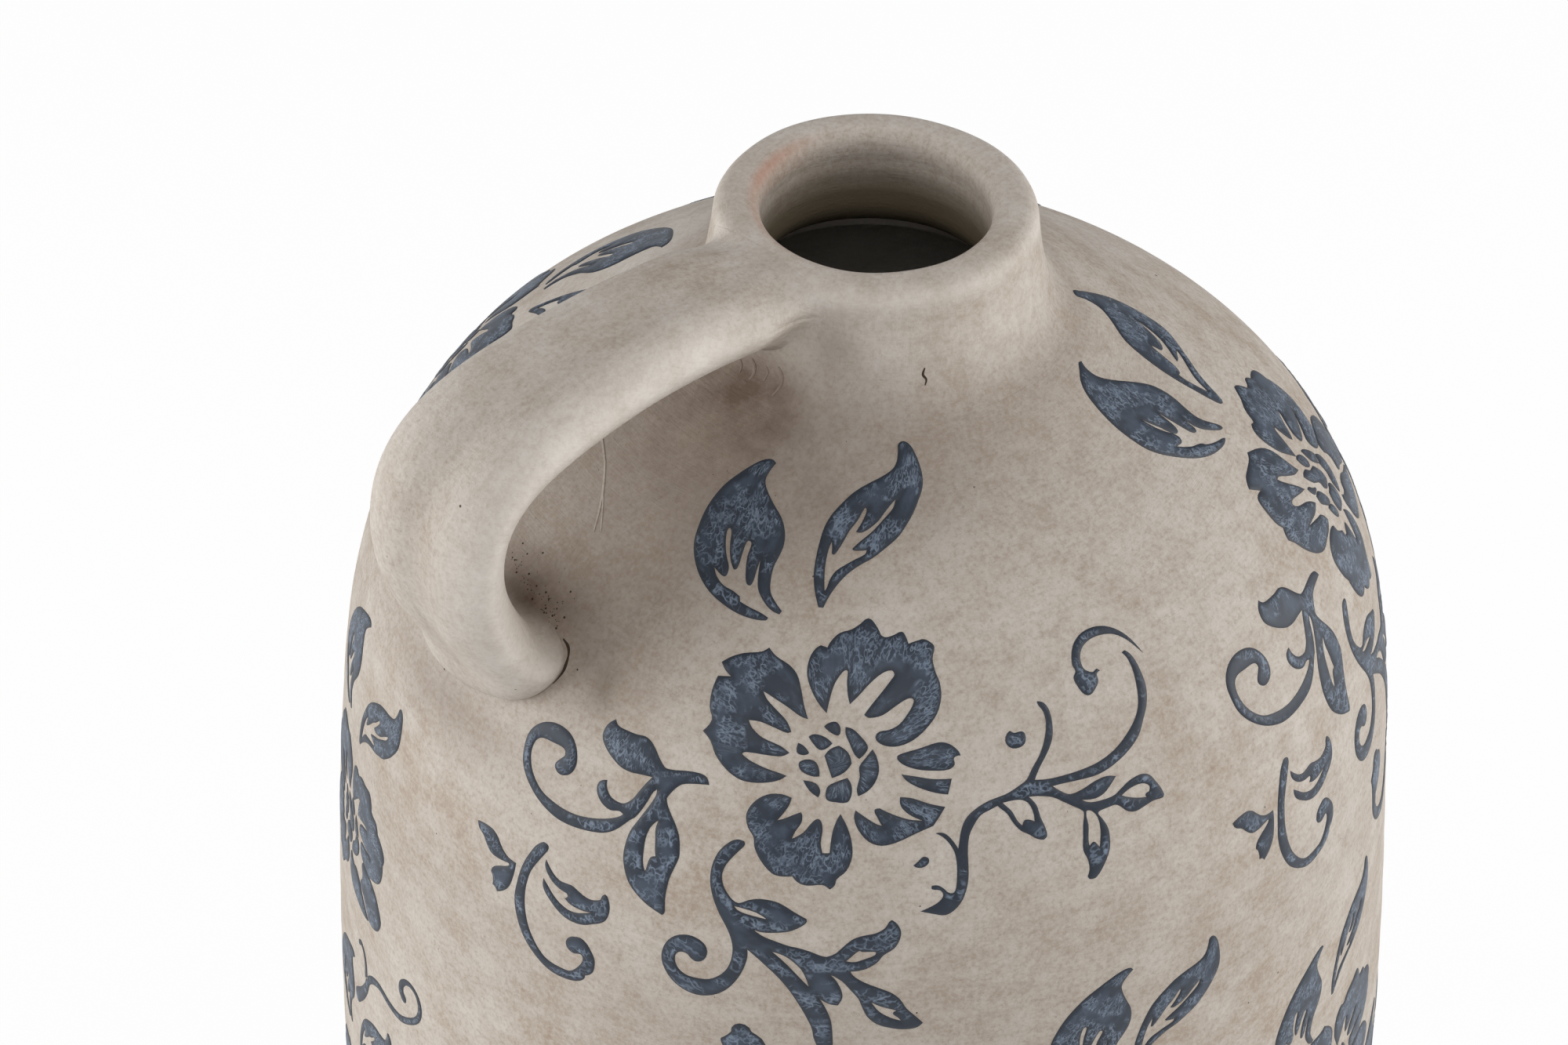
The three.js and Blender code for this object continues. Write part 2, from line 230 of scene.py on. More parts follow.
def washed_terracotta():
    """Red clay under one thin coat of cream slip, dabbed on and wiped with a wet cloth, then
    fired without a glaze: matte, cloudy where the coat thins, flecked with brown and cream, with
    pinholes and faint wiping lines. The grain follows the wheel or the strap in mm, and four
    more values say how pale, how stained, how far inside and how worn each point is. The pale
    value also carries painted highlights, the stain value painted shade, and the inside value
    painted shade down the throat."""
    material, tree = new_finish("washed_terracotta")
    place = add_node(tree, "ShaderNodeTexCoord").outputs["Object"]
    mm = add_node(tree, "ShaderNodeMapping",
                  {"Vector": place, "Scale": (1000, 1000, 1000)}).outputs[0]
    grain = add_node(tree, "ShaderNodeAttribute", attribute_name="grain").outputs["Vector"]
    # Wiping lines 0.7 mm apart run on for a few centimetres.
    lines = add_node(tree, "ShaderNodeMapping",
                     {"Vector": grain, "Scale": (0.2, 0.2, 1.4)}).outputs[0]
    # Clouds of thick and thin wash, dabs that break up into ever finer ones, mottles drawn out
    # twice or more along the turn, flecks and the wiping lines.
    drawn = add_node(tree, "ShaderNodeMapping", {"Vector": grain, "Scale": (2, 2, 1)}).outputs[0]
    clouds, patches, mottles, flecks, lines = (
        add_node(tree, "ShaderNodeTexNoise", {"Vector": where, "Scale": 1 / size, "Detail": detail,
                                              "Roughness": 0.72}).outputs["Fac"]
        for where, size, detail in ((mm, CLOUD, 2.0), (mm, DAB, 8.0), (drawn, MOTTLE, 6.0),
                                    (mm, FLECK, 3.0), (lines, 1.0, 3.0)))
    # Pinholes up to 0.8 mm wide, at most one to a cell. The cell's colour decides how wide.
    cells = add_node(tree, "ShaderNodeTexVoronoi", {"Vector": mm, "Scale": 1 / PINHOLE_SPACING})
    width = add_node(tree, "ShaderNodeMapRange",
                     {"Value": cells.outputs["Color"], "From Min": 0.1, "From Max": 0.9,
                      "To Min": -0.03, "To Max": 0.055}).outputs[0]
    depth = add_node(tree, "ShaderNodeMath", {0: width, 1: cells.outputs["Distance"]},
                     operation="SUBTRACT").outputs[0]
    # Each measure, from where to where it runs, and the amount that this gives.
    holes, thick, brown, cream, fleck, grit, wiped, ragged, rough = (
        add_node(tree, "ShaderNodeMapRange", {"Value": value, "From Min": low, "From Max": high,
                                              "To Min": least, "To Max": most}).outputs[0]
        for value, low, high, least, most in (
            (depth, 0.0, 0.018, 0.0, 1.0), (clouds, 0.38, 0.62, 0.0, 0.5),
            (mottles, 0.48, 0.7, 0.0, 0.34), (mottles, 0.5, 0.3, 0.0, 0.34),
            (flecks, 0.5, 0.7, 0.0, 0.4), (flecks, 0.5, 0.3, 0.0, 0.3),
            (lines, 0.5, 0.72, 0.0, 0.14),
            (patches, 0.3, 0.7, 0.6, 1.25), (mottles, 0.3, 0.7, 0.62, 0.8)))
    # Stains, painted shade, painted highlights and bare clay come through the same clouds, so their
    # edges are never even.
    inside = add_node(tree, "ShaderNodeAttribute", attribute_name="inside").outputs["Fac"]
    laid, stained_and_shaded, rubbed = (
        add_node(tree, "ShaderNodeMath", {
            0: add_node(tree, "ShaderNodeAttribute", attribute_name=key).outputs["Fac"],
            1: ragged}, operation="MULTIPLY", use_clamp=True).outputs[0]
        for key in ("pale", "stain_and_shade", "worn"))
    colour = add_node(tree, "ShaderNodeValToRGB", {"Fac": patches},
                      stops=[(0.36, linear("#A79888")), (0.64, linear("#C1B8AD"))]).outputs[0]
    # The cream #E2DBD1 is pale wash and painted highlight, the brown #6A584A stain and painted
    # shade, and the olive #645947 painted shade down the throat and the drip's yellow.
    for code, amount in (("#C4BCB2", thick), ("#9A8776", brown), ("#CCC4BA", cream),
                         ("#8C7663", fleck), ("#D3CBC2", grit), ("#CFC7BD", wiped),
                         ("#E2DBD1", laid), ("#6A584A", stained_and_shaded), ("#645947", inside),
                         ("#B07A62", rubbed), ("#4E4238", holes)):
        colour = add_node(tree, "ShaderNodeMix", {"Factor": amount, 6: colour, 7: linear(code)},
                          data_type="RGBA").outputs[2]
    # The relief is the mottles, the wiping lines and the flecks, with the holes cut into it.
    relief = add_node(tree, "ShaderNodeMath", {0: mottles, 1: lines}, operation="ADD").outputs[0]
    for height, amount in ((flecks, 0.8), (holes, -3.0)):
        relief = add_node(tree, "ShaderNodeMath", {0: height, 1: amount, 2: relief},
                          operation="MULTIPLY_ADD").outputs[0]
    bump = add_node(tree, "ShaderNodeBump",
                    {"Strength": 0.6, "Distance": 0.00022, "Height": relief}).outputs[0]
    shader = add_node(tree, "ShaderNodeBsdfPrincipled",
                      {"Base Color": colour, "Roughness": rough, "Normal": bump, "IOR": 1.5,
                       "Specular IOR Level": 0.35})
    add_node(tree, "ShaderNodeOutputMaterial", {"Surface": shader.outputs[0]})
    return material


def no_shade(azimuth, at):
    """Nothing anywhere: 0."""
    return 0 * at


def turned_piece(name, profile, around, shades, material, nodes, poles=False):
    """A piece thrown on the wheel: each row of its cross-section carried round the axis. The
    shades are functions of azimuth and wall length, and one that isn't given is 0. Where the
    cross-section starts and ends by the axis, a fan closes each pole, and otherwise the last
    row meets the first. The grain is (g cos p, g sin p, length), with g its radius, so what
    follows it is drawn out some four times along the turn."""
    azimuth, at = np.meshgrid(np.linspace(0, 360, around, endpoint=False), profile["rows"])
    grid = skin(profile, azimuth, at)
    p = np.radians(azimuth)
    values = {"grain": np.stack([GRAIN_RADIUS * np.cos(p), GRAIN_RADIUS * np.sin(p), at], -1)}
    for key in ("pale", "stain_and_shade", "inside", "worn"):
        values[key] = shades.get(key, no_shade)(azimuth, at) + 0 * at
    if poles:
        points, faces, values = capped(grid, values)
    else:
        points, faces = grid.reshape(-1, 3), [grid_faces(len(grid), around, True)]
    return mesh_piece(name, points, faces, values, material, nodes)


def part_of(path, top, bottom):
    """The stretch of a falling path between two heights, with an exact point at each end."""
    keep = path[(path[:, 1] < top - 1e-6) & (path[:, 1] > bottom + 1e-6)]
    ends = [[np.interp(-h, -path[:, 1], path[:, 0]), h] for h in (top, bottom)]
    return np.vstack([ends[:1], keep, ends[1:]])


wash = washed_terracotta()
# The whole outside, from the neck down to the heel. Each piece of the wall takes its part.
dome_line = cubic_run(NECK_FOOT, SHOULDER_SLOPE, 0.45, TURN, TURN_SLOPE, 0.51)
flank_line = cubic_run(TURN, TURN_SLOPE, 0.24, WIDEST, 90, 0.27)
lower_line = cubic_run(WIDEST, 90, 0.36, (FOOT_RADIUS, HEEL_ROUND), HEEL_SLOPE, 0.3)
outer_line = np.vstack([dome_line, flank_line[1:], lower_line[1:]])
wall_length = lengths(outer_line) + START


def length_at(height):
    """The wall length at which the outside passes a height."""
    return np.interp(-height, -outer_line[:, 1], wall_length)


heel_line = part_of(outer_line, BASE_THICKNESS, HEEL_ROUND)
heel_corner = FOOT_RADIUS - 0.4 * HEEL_ROUND
heel_foot = FOOT_RADIUS - 1.4 * HEEL_ROUND
heel_curve = bent_run(heel_line[-1], (heel_corner, 0), (heel_foot, 0))
slab_top = straight_run((POLE_GAP, BASE_THICKNESS), heel_line[0])
slab = profile_of([(slab_top, 4.0), (heel_line, 1.0), (heel_curve, 0.7),
                   (straight_run((heel_foot, 0), (POLE_GAP, 0)), 4.0)],
                  length_at(BASE_THICKNESS) - lengths(slab_top)[-1])


def heel_wear(azimuth, at):
    """How far the wash is rubbed off: it starts 2 mm down the heel's rounding and is 0.9 from
    6 mm further on, over the whole underside."""
    return np.clip((at - length_at(HEEL_ROUND) - 2) / 6, 0, 1) * 0.9


def slab_lining(azimuth, at):
    """1 on the slab's upper face, where the wash was poured in and lies thick and pale."""
    return 1.0 * (at < length_at(BASE_THICKNESS) - 0.2)


turned_piece("base_slab_dressed", slab, 480, {"pale": slab_lining, "worn": heel_wear}, wash,
             ("base_slab",), poles=True)

# Belly wall. The lower bowl of red clay, thrown on the slab and drawn up to its widest turn.
# It is luted to the slab below and to the shoulder above, and both joints are wiped smooth.
JOINT_HEIGHT = 150.0
WALL_THICKNESS = 8.0
DARKER_FROM = 270.0       # the wash darkens from this wall length on, and is darkest 80 mm further
DARKER_OVER = 80.0

inner_line = outer_line - WALL_THICKNESS * normals(outer_line)
belly_outer = part_of(outer_line, JOINT_HEIGHT, BASE_THICKNESS)
belly_inner = part_of(inner_line, JOINT_HEIGHT, BASE_THICKNESS)[::-1]
belly = profile_of([(belly_outer, 2.0), (straight_run(belly_outer[-1], belly_inner[0]), 4.0),
                    (belly_inner, 4.0), (straight_run(belly_inner[-1], belly_outer[0]), 4.0)],
                   length_at(JOINT_HEIGHT))


def foot_darkening(azimuth, at):
    """Darker towards the foot, from 270 mm down the wall, fullest 80 mm further, on the outside
    only.
    """
    thinned = np.clip((at - DARKER_FROM) / DARKER_OVER, 0, 1)
    return 0.22 * thinned * (at < length_at(BASE_THICKNESS))


def belly_lining(azimuth, at):
    """1 on the inner face, which comes after the lower edge."""
    return 1.0 * (at > length_at(BASE_THICKNESS) + 1)


turned_piece("belly_wall_dressed", belly, 480, {"pale": belly_lining, "stain_and_shade": foot_darkening}, wash,
             ("belly_wall",))

# Shoulder wall. The upper bowl with the low dome, thrown apart, turned over and luted rim to
# rim on the belly. Under the handle the wash is brown, partly stain and partly painted shade.
COLLAR_SEAT = 326.0
RIM_RADIUS = 28.1
HANDLE_SIDE = -45.4
BEHIND_HANDLE = HANDLE_SIDE - 60
# Brown at the handle's two roots, partly stain and partly painted shade: how deep each is, its
# middle and reach across the handle, then along the wall. The first three are across it in
# degrees, the last two in mm.
ROOT_STAINS_AND_SHADE = ((0.45, 6, 26, 4, 13), (0.4, 12, 10, 2, 7), (0.75, -4, 11, 60, 8))
SIDE_STAINS_AND_SHADE = ((0.3, 12, 6, 66, 10), (0.4, -9, 16, 87, 7))

shoulder_outer = part_of(outer_line, COLLAR_SEAT, JOINT_HEIGHT)
shoulder_inner = part_of(inner_line, inner_line[0, 1] - 0.01, JOINT_HEIGHT)[::-1]
shoulder_rim = np.array([RIM_RADIUS, COLLAR_SEAT])
shoulder = profile_of([(shoulder_outer, 1.9),
                       (straight_run(shoulder_outer[-1], shoulder_inner[0]), 4.0),
                       (shoulder_inner, 5.0), (straight_run(shoulder_inner[-1], shoulder_rim), 2.0),
                       (straight_run(shoulder_rim, shoulder_outer[0]), 4.0)],
                      length_at(COLLAR_SEAT))


def bump_at(x, centre, width):
    """exp(-((x - centre) / width)^2), a soft hill."""
    return np.exp(-((x - centre) / width) ** 2)


def turn_from(azimuth, middle):
    """An azimuth as degrees from a middle one, between -180 and 180."""
    return (azimuth - middle + 180) % 360 - 180


def shoulder_stain_and_shade(azimuth, at):
    """Brown under the arch of the handle, deepest beside both of its roots, partly stain and
    partly painted shade, a faint ring round the foot of the neck and a fainter one half way down
    the shoulder."""
    turn = turn_from(azimuth, HANDLE_SIDE)
    across = turn * np.clip(at, 6, 90) * 0.014
    arch = 0.5 / (1 + np.exp((np.abs(across - 2) - 13 - at * 0.05) / 4)) * bump_at(at, 26, 38)
    root = 0
    for measure, stains in ((turn, ROOT_STAINS_AND_SHADE), (across, SIDE_STAINS_AND_SHADE)):
        for depth, aside, width, down, height in stains:
            root = root + depth * bump_at(measure, aside, width) * bump_at(at, down, height)
    ring = 0.2 * bump_at(at, 22, 13) * (0.6 + 0.4 * np.cos(np.radians(azimuth - 30)))
    low = 0.1 * bump_at(at, 128, 20) * (0.5 + 0.5 * np.cos(np.radians(azimuth + 20)))
    return np.clip(arch + root + ring + low, 0, 1)


def shoulder_pale(azimuth, at):
    """1 on the inner face, and painted light, a paler patch, on the dome behind the handle."""
    behind = 0.42 * bump_at(turn_from(azimuth, BEHIND_HANDLE), 0, 38) * bump_at(at, 28, 26)
    return np.maximum(1.0 * (at > length_at(JOINT_HEIGHT) + 1), behind)


def dried_drip(azimuth, at):
    """One faint yellow run of the wash, 4 mm wide, below the handle's foot."""
    return 0.35 * np.exp(-((azimuth - 328) / 1.6) ** 2 - ((at - 66) / 5) ** 4)


turned_piece("shoulder_wall_dressed", shoulder, 600,
             {"pale": shoulder_pale, "stain_and_shade": shoulder_stain_and_shade, "inside": dried_drip}, wash,
             ("shoulder_wall",))

# Neck collar. A short ring of red clay thrown by itself, with a rolled lip and throwing rings
# in its throat. It is luted on the dome, and its skirt is smeared down until no joint shows.
NECK_HEIGHT = 350.0
LIP_RADIUS = 32.0
MOUTH_RADIUS = 23.0
LIP_OUTER_ROUND = 3.5
LIP_INNER_ROUND = 3.0
THROAT_FOOT = 333.5
WET_ROUNDING = 2.8
RING_DEPTH = 0.2
THROWING_RINGS = ((343.4, 1.2, 1.0), (338.6, 1.4, 0.8))     # height, half width, share of depth
OUTER_FACE = 27.5        # beyond this radius the collar's skin is its outer face
WORN_SIDE = -118.0
# the middle of the painted light round the front of the neck, in degrees
LIT_NECK_SIDE = 12.0


def arc_run(centre, radius, start, end, count=60):
    """Points centre + radius (cos a, sin a), with a from start to end in degrees."""
    a = np.radians(np.linspace(start, end, count))[:, None]
    return np.array(centre, float) + radius * np.hstack([np.cos(a), np.sin(a)])


waist = cubic_run((LIP_RADIUS, NECK_HEIGHT - LIP_OUTER_ROUND), 82, 0.7, shoulder_outer[0],
                  SHOULDER_SLOPE, 0.24)
outer_roll = arc_run((LIP_RADIUS - LIP_OUTER_ROUND, NECK_HEIGHT - LIP_OUTER_ROUND),
                     LIP_OUTER_ROUND, 90, 0)
inner_roll = arc_run((MOUTH_RADIUS + LIP_INNER_ROUND, NECK_HEIGHT - LIP_INNER_ROUND),
                     LIP_INNER_ROUND, 180, 90)
bore = straight_run((MOUTH_RADIUS, THROAT_FOOT), inner_roll[0])
flare = bent_run((RIM_RADIUS, COLLAR_SEAT), (MOUTH_RADIUS, (THROAT_FOOT + COLLAR_SEAT) / 2),
                 (MOUTH_RADIUS, THROAT_FOOT))
lip = np.vstack([flare, bore[1:], inner_roll[1:], straight_run(inner_roll[-1], outer_roll[0])[1:],
                 outer_roll[1:], waist[1:]])


def softened(path, reach):
    """A path averaged over a window as long as the reach, which rounds it as wet fingers do,
    with its ends kept. The throwing rings are then cut into the bore."""
    even = np.linspace(0, lengths(path)[-1], 1200)
    line = np.stack([np.interp(even, lengths(path), path[:, k]) for k in (0, 1)], 1)
    count = int(reach / (even[1] - even[0])) | 1
    window = np.hanning(count + 2)[1:-1]
    wide = np.pad(line, ((count // 2,) * 2, (0, 0)), mode="reflect", reflect_type="odd")
    smooth = np.stack([np.convolve(wide[:, k], window / window.sum(), "valid") for k in (0, 1)], 1)
    rings = sum(share * bump_at(smooth[:, 1], *ring) for *ring, share in THROWING_RINGS)
    smooth[:, 0] += RING_DEPTH * rings * (smooth[:, 0] < MOUTH_RADIUS + 2)
    return smooth


collar_line = softened(lip, WET_ROUNDING)
collar_begin = length_at(COLLAR_SEAT) - lengths(collar_line)[-1]
collar = profile_of([(collar_line, 0.75), (straight_run(collar_line[-1], collar_line[0]), 3.0)],
                    collar_begin)


def collar_place(at):
    """Radius and height on the collar's skin at a wall length."""
    return tuple(np.interp(at, collar["at"], collar["point"][:, k]) for k in (0, 1))


def throat_shade(azimuth, at):
    """Painted shade down the throat: 0 on the lip, rising to 1 from 3 mm to 14 mm down."""
    radius, height = collar_place(at)
    down = np.clip((NECK_HEIGHT - height - 3) / 11, 0, 1)
    return down * (radius < RIM_RADIUS) * (at < collar_begin + 40)


def collar_wear(azimuth, at):
    """Red clay on the inner edge of the lip, on the side that the photograph shows it."""
    radius, height = collar_place(at)
    turn = turn_from(azimuth, WORN_SIDE)
    edge = bump_at(radius, MOUTH_RADIUS + 1.2, 1.1) * (height > 345)
    return 0.75 * edge * bump_at(turn, 0, 24) + 0.3 * edge * bump_at(turn, 50, 26)


def collar_stain_and_shade(azimuth, at):
    """The shoulder's stain and painted shade carried on up the neck, a stain and painted shade
    beside the handle's upper root, and a faint darkening over the top of the neck and lip."""
    radius, height = collar_place(at)
    beside = 0.35 * bump_at(turn_from(azimuth, HANDLE_SIDE), 34, 8) * bump_at(height, 338, 5)
    top = 0.05 * np.clip((height - 341) / 5, 0, 1)
    below = shoulder_stain_and_shade(azimuth, at) * np.clip((at + 12) / 14, 0, 1)
    return np.clip((beside + below) * (radius > OUTER_FACE) + top, 0, 1)


def collar_pale(azimuth, at):
    """Painted light: paler wash round the front of the neck where light falls, a paler top of the
    lip and a painted highlight along its outer edge."""
    radius, height = collar_place(at)
    front = bump_at(turn_from(azimuth, LIT_NECK_SIDE), 0, 75)
    run = 0.3 * front * bump_at(height, 338, 8) * (radius > RIM_RADIUS + 1)
    top = 0.15 * np.clip((height - 343) / 4, 0, 1) * (radius > MOUTH_RADIUS + 1.5)
    return run + top + 0.3 * bump_at(radius, LIP_RADIUS - 0.6, 1.1) * bump_at(height, 347.5, 2)


turned_piece("neck_collar_dressed", collar, 480,
             {"pale": collar_pale, "stain_and_shade": collar_stain_and_shade, "inside": throat_shade,
              "worn": collar_wear}, wash, ("neck_collar",))

# Strap handle. One strap of red clay, pulled wet through the hand to a soft oblong with a
# shallow channel down its outer face, bent over and luted to the neck and to the shoulder.
STRAP_WIDTH = 28.0
STRAP_THICKNESS = 16.5
STRAP_CHANNEL = 2.1
CHANNEL_ASIDE = -3.0
CHANNEL_REACH = 4.8
NEAR_SOFTNESS = 0.95
FAR_SOFTNESS = 0.6
NECK_SWELL = 1.2         # the sides swell by this much at the neck, and by the next at the root
ROOT_SWELL = 1.0
SWELL_REACH = 9.0
SIDE_SETTLE = 0.25       # the sides and the faces lie this far inside the nominal size
FACE_SETTLE = 0.85
NEAR_SWELL = 3.5         # the near side swells by this much where the strap falls to its root
SPRING_HEIGHT = 343.5
SPRING_RISE = 12.0
CROWN = (64.0, 346.7)
BEND = (105.3, 323.0)
ROOT_REACH = 93.0
ROOT_SLOPE = 116.0
ROOT_ASIDE = 4.8        # the strap leans this far to its far side by its root
UPPER_LUTE = 11.5
LOWER_LUTE = 11.0
STRAP_AROUND = 160

spring = (np.interp(-SPRING_HEIGHT, -waist[:, 1], waist[:, 0]), SPRING_HEIGHT)
root = (ROOT_REACH, np.interp(ROOT_REACH, dome_line[:, 0], dome_line[:, 1]))
strap_line = np.vstack([cubic_run(spring, -SPRING_RISE, 0.33, CROWN, 0, 0.4),
                        cubic_run(CROWN, 0, 0.5, BEND, 90, 0.42)[1:],
                        cubic_run(BEND, 90, 0.35, root, ROOT_SLOPE, 0.3)[1:]])
strap_at = lengths(strap_line)
strap_normal = normals(strap_line)
ring_angle = np.linspace(0, 2 * np.pi, STRAP_AROUND, endpoint=False)
ring_cos, ring_sin = np.cos(ring_angle), np.sin(ring_angle)


def eased(x):
    """3x^2 - 2x^3 with x held to 0..1, a smooth step."""
    x = np.clip(x, 0, 1)
    return x * x * (3 - 2 * x)


def strap_ring(distance):
    """Rings of the strap at distances along its centre line. Round the ring by an angle q, the
    width runs as cos q and the thickness as sin q, each to a power with its sign kept. The
    power runs from the near side's softness to the far side's as (1 + cos q) / 2. The sides
    swell at both ends, and the near side where the strap falls. The outer face sinks by a hill
    beside its middle, deepest past the bend, the whole leans aside towards the root, and the
    hand's unevenness is a sum of slow waves."""
    d = np.asarray(distance, float)[:, None]
    u = d / strap_at[-1]
    power = NEAR_SOFTNESS + (FAR_SOFTNESS - NEAR_SOFTNESS) * (1 + ring_cos[None]) / 2
    c, s = (np.sign(f) * np.abs(f) ** power for f in (ring_cos[None], ring_sin[None]))
    neck, foot = (np.exp(-(way / SWELL_REACH) ** 2) for way in (d, strap_at[-1] - d))
    uneven = 0.25 * np.sin(d / 11 + 2 * c) + 0.12 * np.sin(d / 6.1 + 3 * s + 1)
    swollen = STRAP_WIDTH / 2 + NECK_SWELL * neck + ROOT_SWELL * foot
    wide = (swollen + uneven - SIDE_SETTLE) * c
    wide -= NEAR_SWELL * bump_at(u, 0.7, 0.3) * np.clip(-c, 0, 1)
    thick = (STRAP_THICKNESS / 2 + uneven - FACE_SETTLE) * s
    channel = STRAP_CHANNEL * (0.35 + 0.65 * bump_at(u, 0.62, 0.22))
    thick -= channel * bump_at(wide, CHANNEL_ASIDE, CHANNEL_REACH) * np.clip(s, 0, 1)
    wide = wide + ROOT_ASIDE * eased((u - 0.45) / 0.5)
    r, z = (np.interp(d, strap_at, strap_line[:, k]) for k in (0, 1))
    n, m = (np.interp(d, strap_at, strap_normal[:, k]) for k in (0, 1))
    return np.stack([-(r + thick * n), wide, z + thick * m], -1)


def strap_shades(distance, grid, stain_and_shade):
    """Grain drawn out four times along the strap, a painted highlight along the near side, whose
    angle is pi, a fainter one along the far edge, and the given stain and painted shade with
    more painted shade along the channel."""
    d = np.asarray(distance, float)[:, None] + 0 * grid[..., 0]
    grain = np.stack([d / 4 + 60, grid[..., 1], grid[..., 2] * 0.7 + 0.4 * grid[..., 0]], -1)
    # Painted highlights along the near side and the far edge.
    roll = 0.6 * bump_at(ring_angle, np.pi, 0.9) * eased(d / 20)
    roll = roll + 0.3 * bump_at(ring_angle, 0.5, 0.7)
    # Painted shade along the channel.
    channel_shade = 0.12 * bump_at(ring_angle, 1.8, 0.5)
    return {"grain": grain, "pale": roll, "stain_and_shade": np.clip(stain_and_shade + channel_shade + 0 * d, 0, 1),
            "inside": 0 * d, "worn": 0 * d}


def tight_rows(start, end, spacing):
    """Distances from start to end, with one more row close to each end."""
    inner = np.linspace(start, end, int((end - start) / spacing) + 1)
    return np.concatenate([[start, start + 0.1], inner[1:-1], [end - 0.1, end]])


strap_rows = tight_rows(UPPER_LUTE, strap_at[-1] - LOWER_LUTE, 0.75)
strap_grid = strap_ring(strap_rows)
# Painted shade on the strap's underside, where it faces down.
underside_shade = 0.3 * np.clip(-ring_sin, 0, 1)[None] ** 0.5
strap_points, strap_faces, strap_values = capped(
    strap_grid, strap_shades(strap_rows, strap_grid, underside_shade))
mesh_piece("strap_handle_dressed", strap_points, strap_faces, strap_values, wash,
           ("strap_handle",))

# Upper lute. Soft clay worked in round the strap's upper end and smeared with the thumb onto
# the neck and over the back of the lip, until the strap seems to grow out of the neck.
UPPER_SPREAD_NEAR = 6.5
UPPER_SPREAD_FAR = 7.0
UPPER_TUCK = 9.0
UPPER_UP = 9.5
UPPER_DOWN = 11.0

lip_top = np.argmax(collar_line[:, 1])
spring_at = collar_begin + np.interp(-SPRING_HEIGHT, -collar_line[lip_top:, 1],
                                     lengths(collar_line)[lip_top:])


def smeared_end(distance, towards, footprint, pull, rise, count=34):
    """The luting clay between the strap and the pot. From each point A of the strap's last
    ring to the point D of its footprint on the pot's skin runs a cubic curve that leaves A
    along the strap. It reaches D from Q = D + |D - A| (rise N - pull S), with N the skin's
    normal and S the way outward on it: a pull smears the edge, a rise makes it blunt. The edge
    then feathers in under the skin, and the rest lies hidden in the wall."""
    ring = strap_ring([distance, distance - towards * 0.2])
    along = ring[0] - ring[1]
    a, d = ring[0], footprint(1.0, 0.0)
    spread, up = d - footprint(0.97, 0.0), footprint(1.0, 1.0) - d
    along, spread, up = (way / np.linalg.norm(way, axis=-1, keepdims=True)
                         for way in (along, spread, up))
    chord = np.linalg.norm(d - a, axis=-1, keepdims=True)
    pull, rise = (np.asarray(share)[:, None] for share in (pull, rise))
    p, q = a + 0.45 * chord * along, d + chord * (rise * up - pull * spread)
    t = np.concatenate([[0, 0.01], np.linspace(0.04, 1, count)])[:, None, None]
    hidden = np.stack([footprint(1.04, -0.4), footprint(0.85, -4.0)])
    share = np.concatenate([t[:, 0, 0], [1.05, 1.1]])
    return np.concatenate([cubic(a, p, q, d, t), hidden]), share


def joined(share, on_strap, on_pot):
    """A shade of a lute: the strap's own at its start and the pot's at its edge, mixed by the
    square of the share of the way."""
    mix = np.clip(share, 0, 1)[:, None] ** 2
    return (1 - mix) * on_strap + mix * on_pot


def upper_outline(scale):
    """Its outline on the neck as azimuths and lengths: across, cos q times the sum of the
    strap's half width and the spread times cos^2 q, and along the skin, sin q times the reach
    upward or downward. Under the strap the near side is tucked in."""
    spread = np.where(ring_cos > 0, UPPER_SPREAD_FAR, UPPER_SPREAD_NEAR)
    spread = spread - UPPER_TUCK * eased((0.6 - ring_sin) / 1.3) * (ring_cos < 0)
    across = (STRAP_WIDTH / 2 + spread * np.abs(ring_cos) ** 2) * ring_cos * scale
    up = np.where(ring_sin > 0, UPPER_UP, UPPER_DOWN) * ring_sin * scale
    return HANDLE_SIDE - np.degrees(across / spring[0]), spring_at - up


def upper_footprint(scale, lift):
    """The outline on the neck's skin, scaled about its middle and lifted."""
    return skin(collar, *upper_outline(scale), lift)


# Where the near side is tucked in under the strap, the clay is pressed up rather than smeared.
tucked = np.clip(-ring_sin, 0, 1) * np.clip(0.3 - 1.5 * ring_cos, 0, 1)
upper_grid, upper_share = smeared_end(UPPER_LUTE, -1, upper_footprint,
                                      np.where(ring_sin > 0, 0.4, 0.3) - 0.3 * tucked,
                                      0.15 * tucked)
# Its rows start at the pot, so that they run the same way as the strap's.
upper_grid, upper_share = upper_grid[::-1], upper_share[::-1]
# The strap's painted shade and painted light blend into the neck's stain, painted shade and painted
# light across the lute.
lute_stain_and_shade = joined(upper_share, underside_shade, collar_stain_and_shade(*upper_outline(1.0))[None])
upper_shades = strap_shades(UPPER_LUTE * (1 - upper_share), upper_grid, lute_stain_and_shade)
upper_shades["pale"] = joined(upper_share, upper_shades["pale"],
                              collar_pale(*upper_outline(1.0))[None])
upper_points, upper_faces, upper_values = capped(upper_grid, upper_shades)
mesh_piece("upper_lute_dressed", upper_points, upper_faces, upper_values, wash,
           ("upper_lute",))

# Lower lute. The strap's foot, pressed onto the shoulder with the thumb: it ends in a blunt
# edge, painted shadow along it on the near side, and is smeared away smooth on the far side.
LOWER_NEAR = 16.0
LOWER_FAR = 18.0
LOWER_OUT = 12.3
LOWER_UNDER = 7.0
LOWER_SLANT = 0.1        # the outer edge runs outward by this share of its way to the far side
LOWER_WAVE = 0.4
PAD_INWARD = 3.6         # the middle of the pad lies a little nearer the neck than the root
PAD_RADIUS = ROOT_REACH - 3

pad_at = np.interp(ROOT_REACH, dome_line[:, 0], wall_length[:len(dome_line)]) - PAD_INWARD
body = {"at": wall_length, "point": outer_line, "normal": normals(outer_line)}


